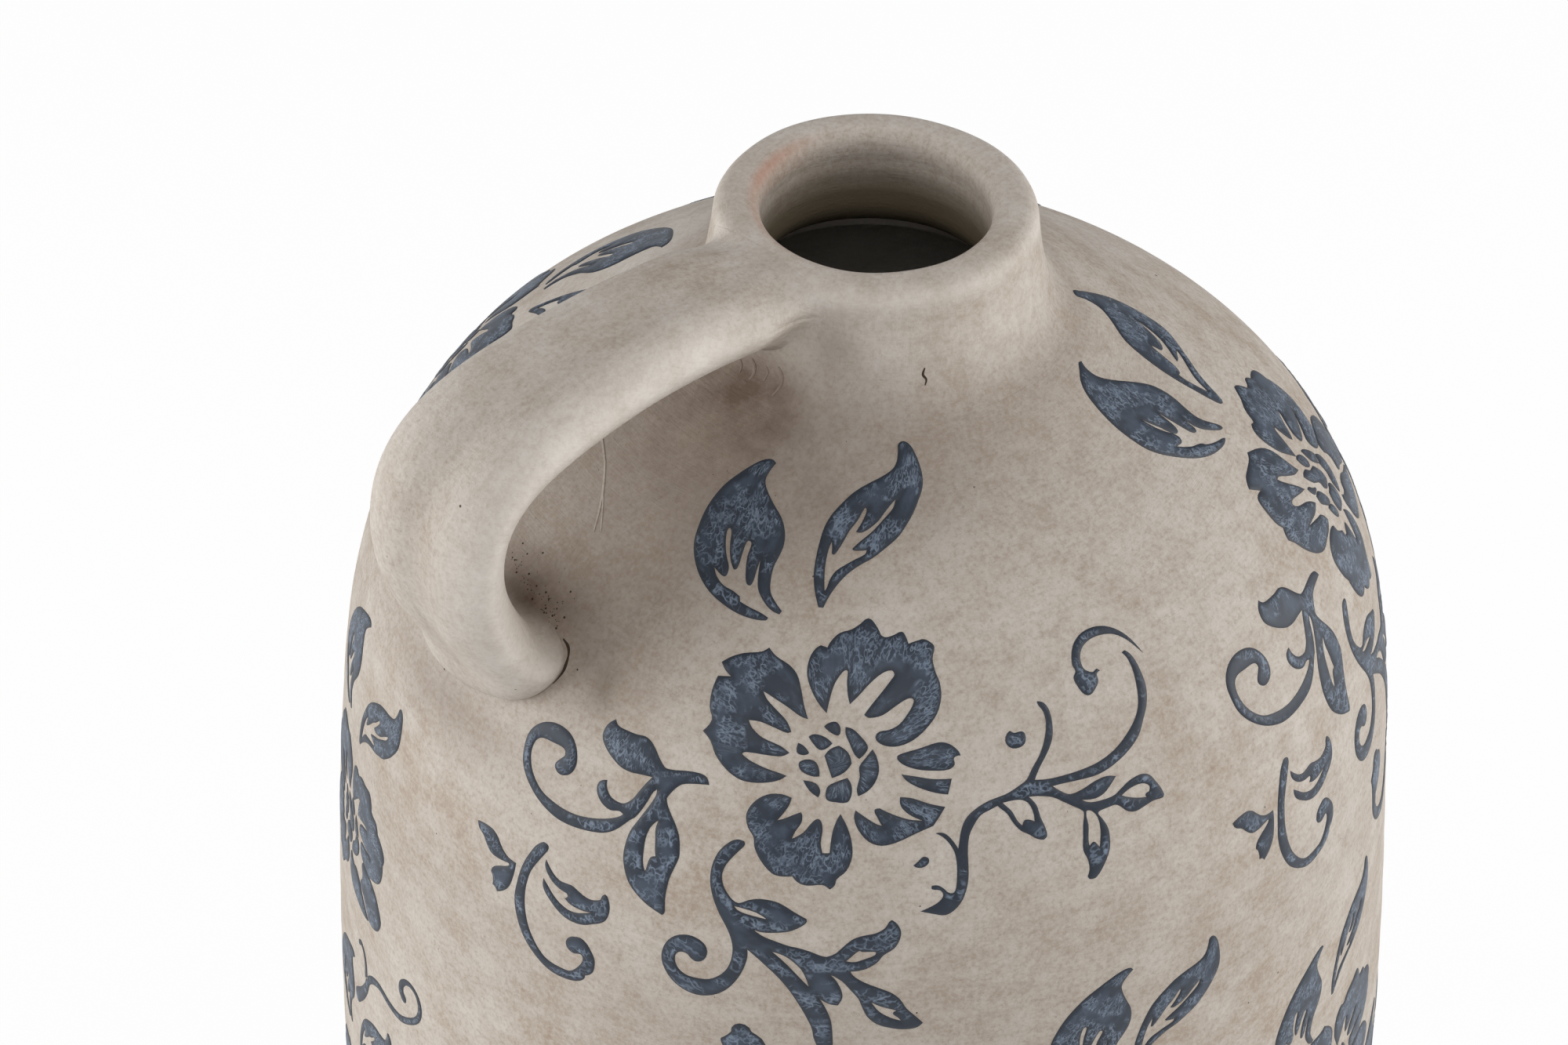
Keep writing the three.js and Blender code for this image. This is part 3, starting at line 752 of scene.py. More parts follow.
def lower_outline(scale):
    """Its outline on the shoulder as azimuths and lengths: a rounded oblong (A cos^k q,
    B sin^k q), with A the reach to the near or to the far side, and B the reach outward or in
    under the strap. Its outer edge slants away and has a thumb's waviness."""
    power = 0.85 - 0.15 * ring_cos
    c, s = (np.sign(f) * np.abs(f) ** power for f in (ring_cos, ring_sin))
    across = np.where(c > 0, LOWER_FAR, LOWER_NEAR) * c * scale
    outward = LOWER_OUT + LOWER_WAVE * np.cos(5 * ring_angle) + LOWER_SLANT * across
    reach = np.where(s > 0, outward, LOWER_UNDER)
    return (HANDLE_SIDE - np.degrees((across + ROOT_ASIDE) / PAD_RADIUS),
            pad_at + reach * s * scale)


def lower_footprint(scale, lift):
    """The outline on the shoulder's skin, scaled about its middle and lifted."""
    return skin(body, *lower_outline(scale), lift)


# Blunt round the outer end and the near side, where a painted shadow lies along its edge.
blunt = np.clip(ring_sin * 1.3 - ring_cos * 0.5 + 0.25, 0, 1)
lower_grid, lower_share = smeared_end(strap_at[-1] - LOWER_LUTE, 1, lower_footprint,
                                      0.45 - 0.55 * blunt, 0.36 * blunt)
edge_shadow = 0.8 * np.clip((lower_share - 0.9) / 0.1, 0, 1)[:, None] * blunt[None]
# The foot's painted underside shade runs into the shoulder's stain and painted shade.
foot_stain_and_shade = joined(lower_share, underside_shade, shoulder_stain_and_shade(*lower_outline(1.0))[None])
lower_points, lower_faces, lower_values = capped(
    lower_grid, strap_shades(strap_at[-1] - LOWER_LUTE * (1 - lower_share), lower_grid,
                             np.clip(edge_shadow + foot_stain_and_shade, 0, 1)))
mesh_piece("lower_lute_dressed", lower_points, lower_faces, lower_values, wash,
           ("lower_lute",))

# Blue flowers. Blue slip laid on with a brush over the dry wash, thick enough to stand proud
# of the skin, then combed so that pale lines show through it. Two petals carry the notches.
SLIP_EDGE = 0.06
SLIP_BODY = 0.22
SLIP_ROUNDING = 0.45
SLIP_ROOT = -0.25
SLIP_MESH = 1.2
CURVE_STEPS = 3
EDGE_RINGS = (0.3, 0.75)         # how deep two rings of points lie inside a motif's outline
GRID_INSET = 1.25                # and how far from it the points of the grid stay
POLE_RADIUS = 12.0               # the slip's pattern fans out and is true to size this far out
PATTERN_SHIFT = 37.0             # each motif takes the next stretch of the pattern
MIDDLE = (0.0, 0.0)
PLAIN = (0, 1, MIDDLE)           # the turn, size and pin of a place that doesn't give them


def between(a, m, d, n):
    """Even steps on the cubics (2t^3-3t^2+1) A + (t^3-2t^2+t) M + (3t^2-2t^3) D + (t^3-t^2) N,
    each from its A along M to its D along N, one after the other."""
    t = (np.arange(CURVE_STEPS) / CURVE_STEPS)[:, None, None]
    curve = ((2 * t ** 3 - 3 * t ** 2 + 1) * a + (t ** 3 - 2 * t ** 2 + t) * m
             + (3 * t ** 2 - 2 * t ** 3) * d + (t ** 3 - t ** 2) * n)
    return curve.transpose(1, 0, 2).reshape(-1, a.shape[1])


def smooth_outline(text):
    """A closed smooth curve through points given as x,y in mm, with the direction of the two
    neighbours at each point. A star marks a corner, where the direction is free."""
    words = text.split()
    a = np.array([[float(v) for v in word.strip("*").split(",")] for word in words])
    sharp = np.array([[word.endswith("*")] for word in words])
    d, sharp_next = np.roll(a, -1, 0), np.roll(sharp, -1, 0)
    chord = d - a
    size = np.linalg.norm(chord, axis=1, keepdims=True)
    way = d - np.roll(a, 1, 0)
    way /= np.linalg.norm(way, axis=1, keepdims=True)
    m, n = way * size, np.roll(way, -1, 0) * size
    m, n = (np.where(sharp, np.where(sharp_next, chord, 1.5 * chord - 0.5 * n), m),
            np.where(sharp_next, np.where(sharp, chord, 1.5 * chord - 0.5 * m), n))
    return between(a, m, d, n)


def brushed_outline(text):
    """The outline of a brush stroke given as x,y;width along its middle, in mm. The middle runs
    smoothly through its points, half the width goes to either side, and both ends are round."""
    a = np.array([[float(v) for v in word.replace(";", ",").split(",")] for word in text.split()])
    m = np.gradient(a, axis=0)
    run = np.vstack([between(a[:-1], m[:-1], a[1:], m[1:]), a[-1:]])
    way = np.gradient(run[:, :2], axis=0)
    way /= np.linalg.norm(way, axis=1, keepdims=True)
    side, half = np.stack([-way[:, 1], way[:, 0]], 1), run[:, 2:] / 2
    turn = np.radians(np.arange(30, 180, 30))[:, None]
    first, last = (run[k, :2] + half[k] * sign * (np.cos(turn) * side[k] + np.sin(turn) * way[k])
                   for k, sign in ((0, -1), (-1, 1)))
    return np.vstack([run[:, :2] + half * side, last, (run[:, :2] - half * side)[::-1], first])


def crossings(points, start, end):
    """True for points from which a ray to +x crosses the outline's edges an odd number of
    times, which makes them points of the inside."""
    x, y = points[:, :1], points[:, 1:]
    (x0, y0), (x1, y1) = start.T, end.T
    spans = (y0 > y) != (y1 > y)
    slope = (x1 - x0) / np.where(y1 == y0, 1, y1 - y0)
    return np.sum(spans & (x < x0 + (y - y0) * slope), axis=1) % 2 == 1


def edge_distance(points, start, end):
    """The distance of each point from the nearest edge of the outlines: |P - A - t (D - A)|
    with t = (P - A).(D - A) / |D - A|^2 held to 0..1."""
    way = end - start
    reach = points[:, None] - start
    t = np.clip((reach * way).sum(-1) / np.maximum((way * way).sum(-1), 1e-12), 0, 1)
    return np.linalg.norm(reach - t[..., None] * way, axis=-1).min(1)


def flat_motif(texts, pole=MIDDLE):
    """A motif as flat triangles: its outlines or brush strokes, two rings of points close
    inside them and an even grid within. Returns points, triangles, border edges, edge distances
    and each point's place about the pole: the angle times a fixed radius, and the distance."""
    loops = [brushed_outline(text) if ";" in text else smooth_outline(text) for text in texts]
    start = np.vstack(loops)
    end = np.vstack([np.roll(loop, -1, 0) for loop in loops])
    begin = np.cumsum([0] + [len(loop) for loop in loops])
    links = [(int(k + i), int(k + (i + 1) % len(loop)))
             for k, loop in zip(begin, loops) for i in range(len(loop))]
    way = (end - start) / np.maximum(np.linalg.norm(end - start, axis=1, keepdims=True), 1e-9)
    side = np.stack([-way[:, 1], way[:, 0]], 1)
    within = [((start + end)[::step] / 2 + sign * depth * side[::step], depth)
              for depth, step in zip(EDGE_RINGS, (1, 2)) for sign in (-1, 1)]
    low, high = start.min(0), start.max(0)
    grid = np.stack(np.meshgrid(*[np.arange(low[k], high[k], SLIP_MESH) for k in (0, 1)]), -1)
    grid[1::2, :, 0] += SLIP_MESH / 2
    # A point is kept if it lies inside, and no edge is nearer than its depth less 7%.
    for spots, depth in (*within, (grid.reshape(-1, 2), GRID_INSET)):
        spots = spots[crossings(spots, start, end)]
        loops.append(spots[edge_distance(spots, start, end) > depth * 0.93])
    found = delaunay_2d_cdt([Vector(p) for p in np.vstack(loops).tolist()], links, [], 0, 1e-4)
    points, tris = np.array([tuple(p) for p in found[0]]), np.array(found[2])
    tris = tris[crossings(points[tris].mean(1), start, end)]
    (a, b, c) = points[tris].transpose(1, 0, 2)
    turn = (b[:, 0] - a[:, 0]) * (c[:, 1] - a[:, 1]) - (b[:, 1] - a[:, 1]) * (c[:, 0] - a[:, 0])
    tris = np.where(turn[:, None] < 0, tris[:, ::-1], tris)[np.abs(turn) > 1e-9]
    used, tris = np.unique(tris, return_inverse=True)
    points, tris = points[used], tris.reshape(-1, 3)
    sides = np.vstack([tris[:, [0, 1]], tris[:, [1, 2]], tris[:, [2, 0]]])
    code = sides[:, 0] * len(points) + sides[:, 1]
    border = sides[~np.isin(code, sides[:, 1] * len(points) + sides[:, 0])]
    far = edge_distance(points, start, end)
    reach = points - np.array(pole, float)
    polar = np.stack([POLE_RADIUS * np.arctan2(reach[:, 1], reach[:, 0]),
                      np.linalg.norm(reach, axis=1)], 1)
    return points, tris, border, far, polar


def painted_piece(name, laid, thickness, material, slot, shades=(), ground=body):
    """Motifs laid on the pot's skin as one closed shell each. The slip stands proud by its
    edge + body (1 - exp(-d / rounding)) at d mm from its outline, and its underside is rooted
    in the skin. Each place is (motif, azimuth, length, turn, size, pin): the motif's pin goes
    to the azimuth and length of the ground's skin, turned and scaled about it. The shades hold
    all over."""
    points, faces, edge, stroke, count = [], [], [], [], 0
    for i, place in enumerate(laid):
        motif, azimuth, at, turn, size, pin = (*place, *PLAIN[len(place) - 3:])
        flat, tris, border, far, polar = motif
        c, s = np.cos(np.radians(turn)) * size, np.sin(np.radians(turn)) * size
        x, y = (flat - np.array(pin)).T
        x, y = c * x - s * y, s * x + c * y
        radius = np.interp(at - y, ground["at"], ground["point"][:, 0])
        height = thickness[0] + thickness[1] * (1 - np.exp(-far / SLIP_ROUNDING))
        for lift in (height, 0 * height + SLIP_ROOT):
            points.append(skin(ground, azimuth + np.degrees(x / radius), at - y, lift))
            edge.append(far)
            stroke.append(np.column_stack([polar, np.full(len(flat), PATTERN_SHIFT * i)]))
        n = len(flat)
        (a, b) = border.T + count
        faces += [tris + count, tris[:, ::-1] + count + n, np.stack([a + n, b + n, b, a], 1)]
        count += 2 * n
    values = {"edge": np.concatenate(edge), "stroke": np.vstack(stroke)}
    values.update({key: np.full(count, value) for key, value in shades})
    return mesh_piece(name, np.vstack(points), faces, values, material)


def blue_slip():
    """Blue slip, brushed on and combed: nearly black along every edge and in its pools, slate
    blue within, and paler where streaks and crinkled lines run outward and thin it."""
    material, tree = new_finish("combed_blue_slip")
    stroke = add_node(tree, "ShaderNodeAttribute", attribute_name="stroke").outputs["Vector"]
    edge = add_node(tree, "ShaderNodeAttribute", attribute_name="edge").outputs["Fac"]
    # Pools of thicker slip 5 mm across where few lines show, thin places 3 mm wide and 7 mm
    # long, and two sizes of folds, 0.65 by 2.2 mm and 1.3 by 4.2 mm, a little coarser than real.
    pools, thinned, fine, coarse = (
        add_node(tree, "ShaderNodeTexNoise", {
            "Vector": add_node(tree, "ShaderNodeMapping", {
                "Vector": stroke, "Scale": (1 / across, 1 / along, 1)}).outputs[0],
            "Scale": 1.0, "Detail": detail, "Roughness": 0.6}).outputs["Fac"]
        for across, along, detail in ((5.0, 5.0, 2.0), (3.0, 7.0, 3.0), (0.65, 2.2, 2.0),
                                      (1.3, 4.2, 2.0)))
    # The crinkled lines run where the folds cross their middle height.
    veins = []
    for folds, width in ((fine, 0.06), (coarse, 0.03)):
        away = add_node(tree, "ShaderNodeMath", {0: folds, 1: 0.5}, operation="SUBTRACT").outputs[0]
        away = add_node(tree, "ShaderNodeMath", {0: away}, operation="ABSOLUTE").outputs[0]
        veins.append(add_node(tree, "ShaderNodeMapRange", {
            "Value": away, "From Min": 0.0, "From Max": width, "To Min": 1.0,
            "To Max": 0.0}).outputs[0])
    within, deep, pooled, streaked = (
        add_node(tree, "ShaderNodeMapRange", {"Value": value, "From Min": low, "From Max": high,
                                              "To Min": least, "To Max": most}).outputs[0]
        for value, low, high, least, most in ((edge, 0.2, 0.7, 0.0, 1.0),
                                              (edge, 0.4, 1.5, 0.0, 0.6),
                                              (pools, 0.44, 0.54, 0.0, 1.0),
                                              (thinned, 0.42, 0.62, 0.2, 1.0)))
    # They don't show along the edge nor in the pools, and never fully.
    for share in (within, pooled, 0.8):
        veins = [add_node(tree, "ShaderNodeMath", {0: vein, 1: share},
                          operation="MULTIPLY").outputs[0] for vein in veins]
    crinkled, lit = veins
    soft = add_node(tree, "ShaderNodeMath", {0: deep, 1: streaked}, operation="MULTIPLY").outputs[0]
    colour = linear("#262C36")
    for code, amount in (("#232A35", within), ("#4A5666", soft), ("#687586", crinkled),
                         ("#7A8797", lit)):
        colour = add_node(tree, "ShaderNodeMix", {"Factor": amount, 6: colour, 7: linear(code)},
                          data_type="RGBA").outputs[2]
    bump = add_node(tree, "ShaderNodeBump", {"Strength": 0.5, "Distance": 0.00012,
                                             "Height": crinkled}).outputs[0]
    shader = add_node(tree, "ShaderNodeBsdfPrincipled",
                      {"Base Color": colour, "Roughness": 0.5, "Normal": bump,
                       "Specular IOR Level": 0.4})
    add_node(tree, "ShaderNodeOutputMaterial", {"Surface": shader.outputs[0]})
    return material


COAT = ((SLIP_EDGE, SLIP_BODY), blue_slip(), "blue_slip")
# In each motif, every petal or dab that stands by itself has an outline of its own.
FLOWER = (
    "-2,9* -3.9,11 -5.5,13.8 -6.1,16 -5.8,18.6 -4.9,20.4 -3.9,21.2* -2.7,20.9* -2,22.3 -0.6,23.8 "
    "1.5,24.6 3,25.7 4.4,26.8 5.8,25.6 6.9,23.7* 7.8,23.3 9.2,23.7 10.6,24.3 11.4,23.4 12,22* "
    "13.5,22.5 14.8,22.7 16.2,21.9 16.8,21.1 16.6,19 17.3,16.5 18.2,14.5 18.6,11.8 18,9 16.2,6.5 "
    "14,4.6 11.5,3.6 9.2,3.6 7.5,4.4 7.1,5.4 7.8,6.2 9.5,6.5 11.3,7.5 12.6,9.2 13.5,10.9 "
    "13.5,11.9 12.5,12 10.5,10.8 8.1,9.1 5.8,8.6 4.8,9.1* 6,10.9 8,13.6 9.3,15.5 9.8,16.4 "
    "9.2,17.2 7.5,16.6 5.5,14.8 3.5,12.4 2.1,10.9* 1.6,12.6 1.3,15 1.3,16.8 0.8,17 -0.3,15.6 "
    "-1.1,13.8 -1.7,11",
    "-5.3,7.6* -6.2,10 -7,13 -7.9,15.4 -9.5,16.9 -12,18.1 -13.4,19.4* -14.8,18.4 -18,17.5 "
    "-20.4,16.3 -22.2,14.9* -21.3,13.6 -20.2,12.8* -22.7,12.3* -23.6,9.5 -23.8,6.5 -23.2,4.4 "
    "-24.8,2* -23.2,0.6 -22.1,-1.6 -20,-3.7 -17.5,-5 -15,-5.2 -12,-4.7 -9.8,-3.9 -8.6,-3* "
    "-9.7,-2.7 -12,-2.3 -15,-1.5 -16.5,-0.8 -17,-0.3 -15.8,0.1 -12,0.2 -9.7,0.4 -8.3,1.2* -10,2.2 "
    "-13.5,3.2 -15.4,4.5 -16.2,5.8* -14,5.9 -11,5.2 -9,4.7 -8.2,5* -9.2,6.8 -11.2,8.5 -13,10 "
    "-13.9,11.4* -12,10.6 -9,9.2 -6.8,8",
    "11.3,1.9* 12.2,2.3 15,3 18.5,3.9 20.5,3.5 22.2,2.2 22.8,1.2* 21.6,0.9 21.8,-0.3 20.8,-1.1 "
    "18,-1.1 15,-0.7 12.5,0.2 11.3,1.2",
    "12.2,-1.5* 15,-2 18,-2.6 21.4,-2.8* 21.2,-4 20.9,-5.6* 18.5,-5.1 15.5,-4 13.2,-2.7",
    "12.2,-5.6* 14.5,-5.9 17.5,-7 20.5,-7.8* 19.6,-9.4 18.5,-11.1* 15.5,-12.3 12,-13.9 9.3,-14.5 "
    "7,-13.8 5,-11.7 4.1,-9.5 4.3,-8.1* 6,-9.2 8,-10.4 9.2,-10.8* 8.3,-9.3 7.7,-8 8.6,-7.6* "
    "11,-8.7 14,-9.7 16.5,-10* 14,-8.8 12.4,-7.2",
    "-7.4,-6.8* -9.5,-6.4 -12,-6.9 -14.3,-8.6 -15.6,-11 -15.2,-13.4 -14.1,-15 -13.8,-17 "
    "-12.5,-19.4 -10.5,-21.4 -9,-21.8 -6.6,-21.5* -5.5,-22.6 -3.8,-23 -1,-22.6 0.3,-23.4* "
    "1.2,-22.5 1.5,-21.3 3.2,-19.5 4.1,-16.8 3.9,-14 3,-11.3 1.6,-8.9* 0.9,-10.3 0.3,-12.5 "
    "0,-16.3* -1.3,-16.4* -1.7,-14.5 -1.5,-12.3 -1.7,-10.8 -2.4,-10.1 -3.5,-10.9 -5,-12.9 "
    "-7,-14.3* -6.4,-12.8 -5.4,-11.1 -5.3,-9.8 -5.6,-9.2* -7,-9.9 -8.5,-10.7 -9.8,-11.2* "
    "-8.7,-9.7 -7.8,-8.2",
    "-2.3,6.6* -1.5,7.3 -0.2,7.6 0.6,6.8 0.7,5.7 0.3,5.2 -0.8,5.5 -1.9,6.2",
    "1.6,6.8* 2.9,6.5 4.4,5.3 5.8,3.6 5.6,2.5 4.4,1.2* 3.5,2 2.5,3.9 1.7,5.5",
    "6.7,3* 7.6,1.5 8.1,-0.8 7.5,-3 6.2,-4.6 4.6,-5.5* 4.3,-4.2 4.7,-2 4.5,-0.2 5.6,1.5",
    "0.6,3.4* 2.4,2.2 3.1,0.3* 1.8,-1.4 -0.3,-2.5* -1.1,-0.6 -1.9,1.4* -0.9,2.7",
    "2.5,-2.3* 3.3,-3.6 3.4,-5.3 2.7,-6.7 0.5,-6.8 -1,-6.5 -1.3,-5.3 -0.9,-4 0.8,-3",
    "-5,4.5* -3.9,5.1 -1.9,4.7 -0.6,3.7* -1.8,2.6 -2.9,2.4 -4.1,3.4",
    "-6.8,3.2* -5.8,2.8 -4.8,1.8 -4.9,1.4 -6.1,1.1 -7,1.6",
    "-4.6,0.5* -3.4,0.1 -2.7,-1.2 -2.6,-2.4* -3.9,-2.5 -5.9,-1.8 -6.5,-0.5 -5.8,0.2",
    "-5.5,-3.4* -3.2,-3.7 -2.3,-4.9 -2.6,-6.2* -4.2,-5.2",
)
WIDE_FLOWER = (
    "-2.5,7.6* -2.8,9.5 -2.9,12 -3.1,14.8 -4,17 -5.8,18.9 -7.4,20 -8.6,20.8* -10.2,20.1 -13,19.9 "
    "-15.5,19.6 -17.2,18.7 -18,18* -17.2,16.8 -16.3,15.6* -18,15.8 -19.3,15.2 -20.5,13 -21.5,10 "
    "-21.3,8* -22.5,6.8 -23.1,5.8* -22.3,4 -21.8,1.8 -20.6,-0.5 -19,-2.3 -16.8,-3.4 -13.5,-3.4 "
    "-10.5,-3.3 -8.2,-2.6* -8.4,-1.2 -9.2,0 -10.3,0.4 -12.5,1.3 -15,2.3* -12.8,1.9 -10,1.5 "
    "-7.4,1.9* -8.2,3.2 -9.8,4.6 -12,5.8 -13.3,6.9 -13.5,7.7* -12.5,8 -10.5,7.2 -8.5,6.2 "
    "-6.5,5.4* -7.3,7.2 -8.6,9.4 -9.7,11.4 -10.1,12.6* -9,12.4 -7,10.4 -5,8.6 -3.5,7.9",
    "1,8.4* -0.3,10.5 -1.6,13 -2.1,16 -1.8,18.5 -0.8,20 0.7,20.6* 1.9,20.1 3,21.4 4.4,22.4 6.5,23 "
    "8.2,23.9 9.4,24.4* 10.5,23.8 11.6,22.2 12.2,20.7* 13.5,20.4 15.2,20.6 16.3,19.9 17.2,18.6* "
    "19.5,18 21.5,16.8 22.5,15 22.3,13* 22.9,11 23,8 22.4,5.5 20.8,3.3 18.8,1.6 17.3,0.4* 15,0.2 "
    "12.8,0.1 11,0.8 9.9,2.2 9.7,3.6 10.1,4.6* 12,5.3 14.5,6.2 16.5,7* 13.5,6.3 10.8,5.9 8.9,5.9 "
    "7.8,6.4 7.6,7.8 8.2,9.2 9.8,10.6 11.5,11.8 12.1,12.3* 10.5,12 8.2,10.6 6.6,9.5 5.6,9.2* "
    "5.1,10.6 5,12.4 5.1,14.3* 4.3,14 3.2,12.2 2,10 1.3,8.7",
    "13.2,0.2* 17,0.5 21,0.2 24.5,-1.8 26.8,-4.5 27,-7 26,-10 23.5,-12.2 21,-12.8* 18.5,-11 "
    "16,-9.3 14,-8.6 13.2,-7.6 14,-5.5 13.6,-3.5 12.6,-2 12.6,-0.8",
    "5,-7.6* 4.2,-8.8 4.4,-11.5 5,-14 6.8,-16.2 9.5,-16.9 13,-16.6 16.5,-15.8 19.5,-14.6 "
    "21,-13.4* 18.5,-12.2 15.5,-10.6 13,-8.8 10.5,-8 8.8,-8.2 8,-9 6.5,-8.8 5.6,-8.2",
    "-8,-4.5* -9.5,-3.9 -12,-4 -14.5,-5 -16.3,-6.8 -16.8,-9 -16.6,-11.5 -15.8,-13.3* -15.8,-15.5 "
    "-15,-18 -13.5,-20 -11.8,-20.7 -9.9,-20.4* -8.8,-22 -7,-23.2 -4.8,-23 -3.4,-24 -2,-24.2* "
    "-1.2,-22.5 0.2,-19.8 2,-17.8 3,-15.2 3.2,-12.5 2.4,-10 1.4,-8.6 0.6,-7.9* 0,-9.5 -0.8,-12 "
    "-1.6,-13.8* -2.4,-13.9* -2.2,-12 -2.3,-10 -2.6,-8.7 -3.6,-8.8 -5,-9.7* -6,-9.3* -6,-8 "
    "-7,-7.1* -7.8,-6.2*",
    "0.2,8.2* 1.5,8.2 3,6.8 3.1,4.8 2,4.2 0.8,5 0.1,6.6",
    "4.2,6.8* 5.2,6.4 6.8,4.5 7.7,2.4 7,1.4 6.2,0.9 5,2.2 4.1,4",
    "8,2* 9.2,0.6 9.6,-1.2 8.8,-3.8 7.3,-5.7 5.6,-6.7 4.9,-6.7* 4.6,-5 4.8,-3.3 5.6,-2.2 6,-0.6 "
    "6.2,1.2",
    "-3.2,6* -1.8,6.1 -0.4,5.6 0.6,4.2 1.8,3.7 3,3.2 3.7,1.6 4.1,0.2 3.6,-1.4 2.2,-1.7 0.8,-1.7 "
    "-0.2,-0.6 -0.2,1 -0.9,1.8 -2,2.8 -2.8,4.4",
    "0,-2.3* 1.4,-2.3 2.4,-2 3.5,-2.6 4,-4.2 3.6,-6 2.6,-7.3 0.6,-7.3 -1,-6.9 -1.4,-5.6 -1.2,-4",
    "-5.9,4.6* -4.8,4.4 -4,3.2 -3,2.2 -4.2,2 -5.4,2.4",
    "-5.3,1.8* -3.4,1.6 -2.4,0 -1.9,-1.8 -2.4,-2.7 -3.8,-2.4 -5,-1.2 -5.9,0.2",
    "-4.8,-2.4* -3.6,-2.4 -2.6,-3.2 -2.1,-4.8 -2.8,-6.2 -3.8,-6 -4.6,-4.4",
)

flower, wide_flower = flat_motif(FLOWER, (1.5, 0)), flat_motif(WIDE_FLOWER, (1.5, 0))
# The flowers of the top row, then of the row below. Those behind the pot are placed by the
# rhythm of the others.
painted_piece("blue_flowers", [
    (flower, -3.0, 69.2), (wide_flower, 83.8, 69.2), (flower, 171, 69), (wide_flower, -111.5, 74.7),
    (wide_flower, -70.8, 148.5, -14, 0.92), (flower, 27.7, 172.4, -14, 0.95),
    (wide_flower, 59, 196, -9, 0.95), (flower, -20, 206, 10, 0.95),
    (wide_flower, 102, 150, -14, 0.95), (flower, 146, 176, 8, 0.95),
    (wide_flower, -170, 152, -12, 0.95), (flower, -122, 178, 12, 0.95)], *COAT)
painted_piece("blue_flowers_low", [
    (wide_flower, -66, 240, 14, 0.95), (flower, -8, 262, -16, 0.95),
    (wide_flower, 22, 236, 20, 0.95), (flower, 78, 262, -12, 0.95),
    (wide_flower, 120, 236, 12, 0.95), (flower, 166, 258, -8, 0.95),
    (wide_flower, -142, 240, 18, 0.95), (flower, -104, 266, -20, 0.95)], *COAT)

# Blue leaves. Two to a flower, above it and springing from nothing: a broad one whose white
# heart is drawn as a comb, and a narrow one with a lighter heart left bare.
BROAD_LEAF = (
    "-11.8,10.6* -12.8,8.8 -13.4,6.8 -12.8,5.2 -11.2,3 -9.2,0.6 -8.2,-1.8 -8,-4.2 -8.5,-6.4 "
    "-9.3,-8.8 -9.5,-11.2 -9.2,-13.6 -7.9,-15.4 -6.6,-16.7* -7,-17.4* -8.8,-16.8 -10.4,-15.4 "
    "-11.6,-13.6 -12,-11.2 -12,-8* -12.4,-10 -12.7,-12 -13.2,-13.2 -14,-13 -14.5,-10.8 -14.6,-8 "
    "-14.2,-5.6 -14.7,-5.1 -15.2,-5.6 -15.7,-8 -16,-10 -16.6,-11.1 -17.3,-10.5 -18,-8.8 "
    "-18.4,-6.4 -18.5,-4.4 -19,-3.9 -19.4,-4.8 -19.2,-7.2 -18.6,-9.2 -17.9,-10.8 -18,-12.4 "
    "-18.6,-12.9 -19.8,-12.4 -20.7,-11.8* -20,-13.2 -18.4,-14.5 -16.4,-15 -14.9,-15.7* "
    "-14.7,-16.6* -12.8,-17.2 -10.4,-17.8 -9,-18.4* -9.4,-19 -12,-19.2 -14.8,-18.9 -18,-17.9 "
    "-21,-16.4 -23.4,-14.2 -25,-11.6 -25.7,-8.8 -25.4,-5.6 -24.6,-2.4 -23.4,0.4 -21.6,3.4 -19.4,6 "
    "-16.8,8.6 -14.6,10.4 -12.8,11.1",
)
NARROW_LEAF = (
    "10.7,16.8 11.6,17.3 13,16.4 14.2,14.6 15.2,12.6 16,10.4 16.3,8.2 15.8,5.6 15.1,3.2 14,0.8 "
    "12.8,-1.2 10.8,-3.2 8.8,-5 6.4,-6.6 4.4,-8.4 2.8,-10.6 1.6,-13 0.9,-15* 0,-15* -1.1,-12 "
    "-1.7,-8.8 -1.7,-5.6 -1.5,-3.2 -1,0 0,2.6 1.6,5 3.6,7.4 6,9.2 8.4,10.6 10.2,12 10.8,13.4 "
    "10.8,15.4",
    "0.7,-11.8* 0.3,-8.8 0.2,-6.4 0.4,-4 0.8,-2.4* 1,-3.6 1.1,-4.7* 1.6,-4.8 2.3,-3.6 3,-2 3.8,0 "
    "5,2 5.8,4 6.2,4.5 6.4,3.6 5.8,1.6 5,-0.2* 6,-0.3 7.2,0.4 8.8,2 10,4 11.2,5.8 11.5,6.1* "
    "11.2,4.4 9.8,2.4 8,0 6,-2 4.7,-3.5* 5.2,-3.8 7.4,-3.6* 7.2,-4.4 5.6,-5.4 3.6,-6.8 2.2,-8 "
    "1.4,-9.6 1,-11.4",
)
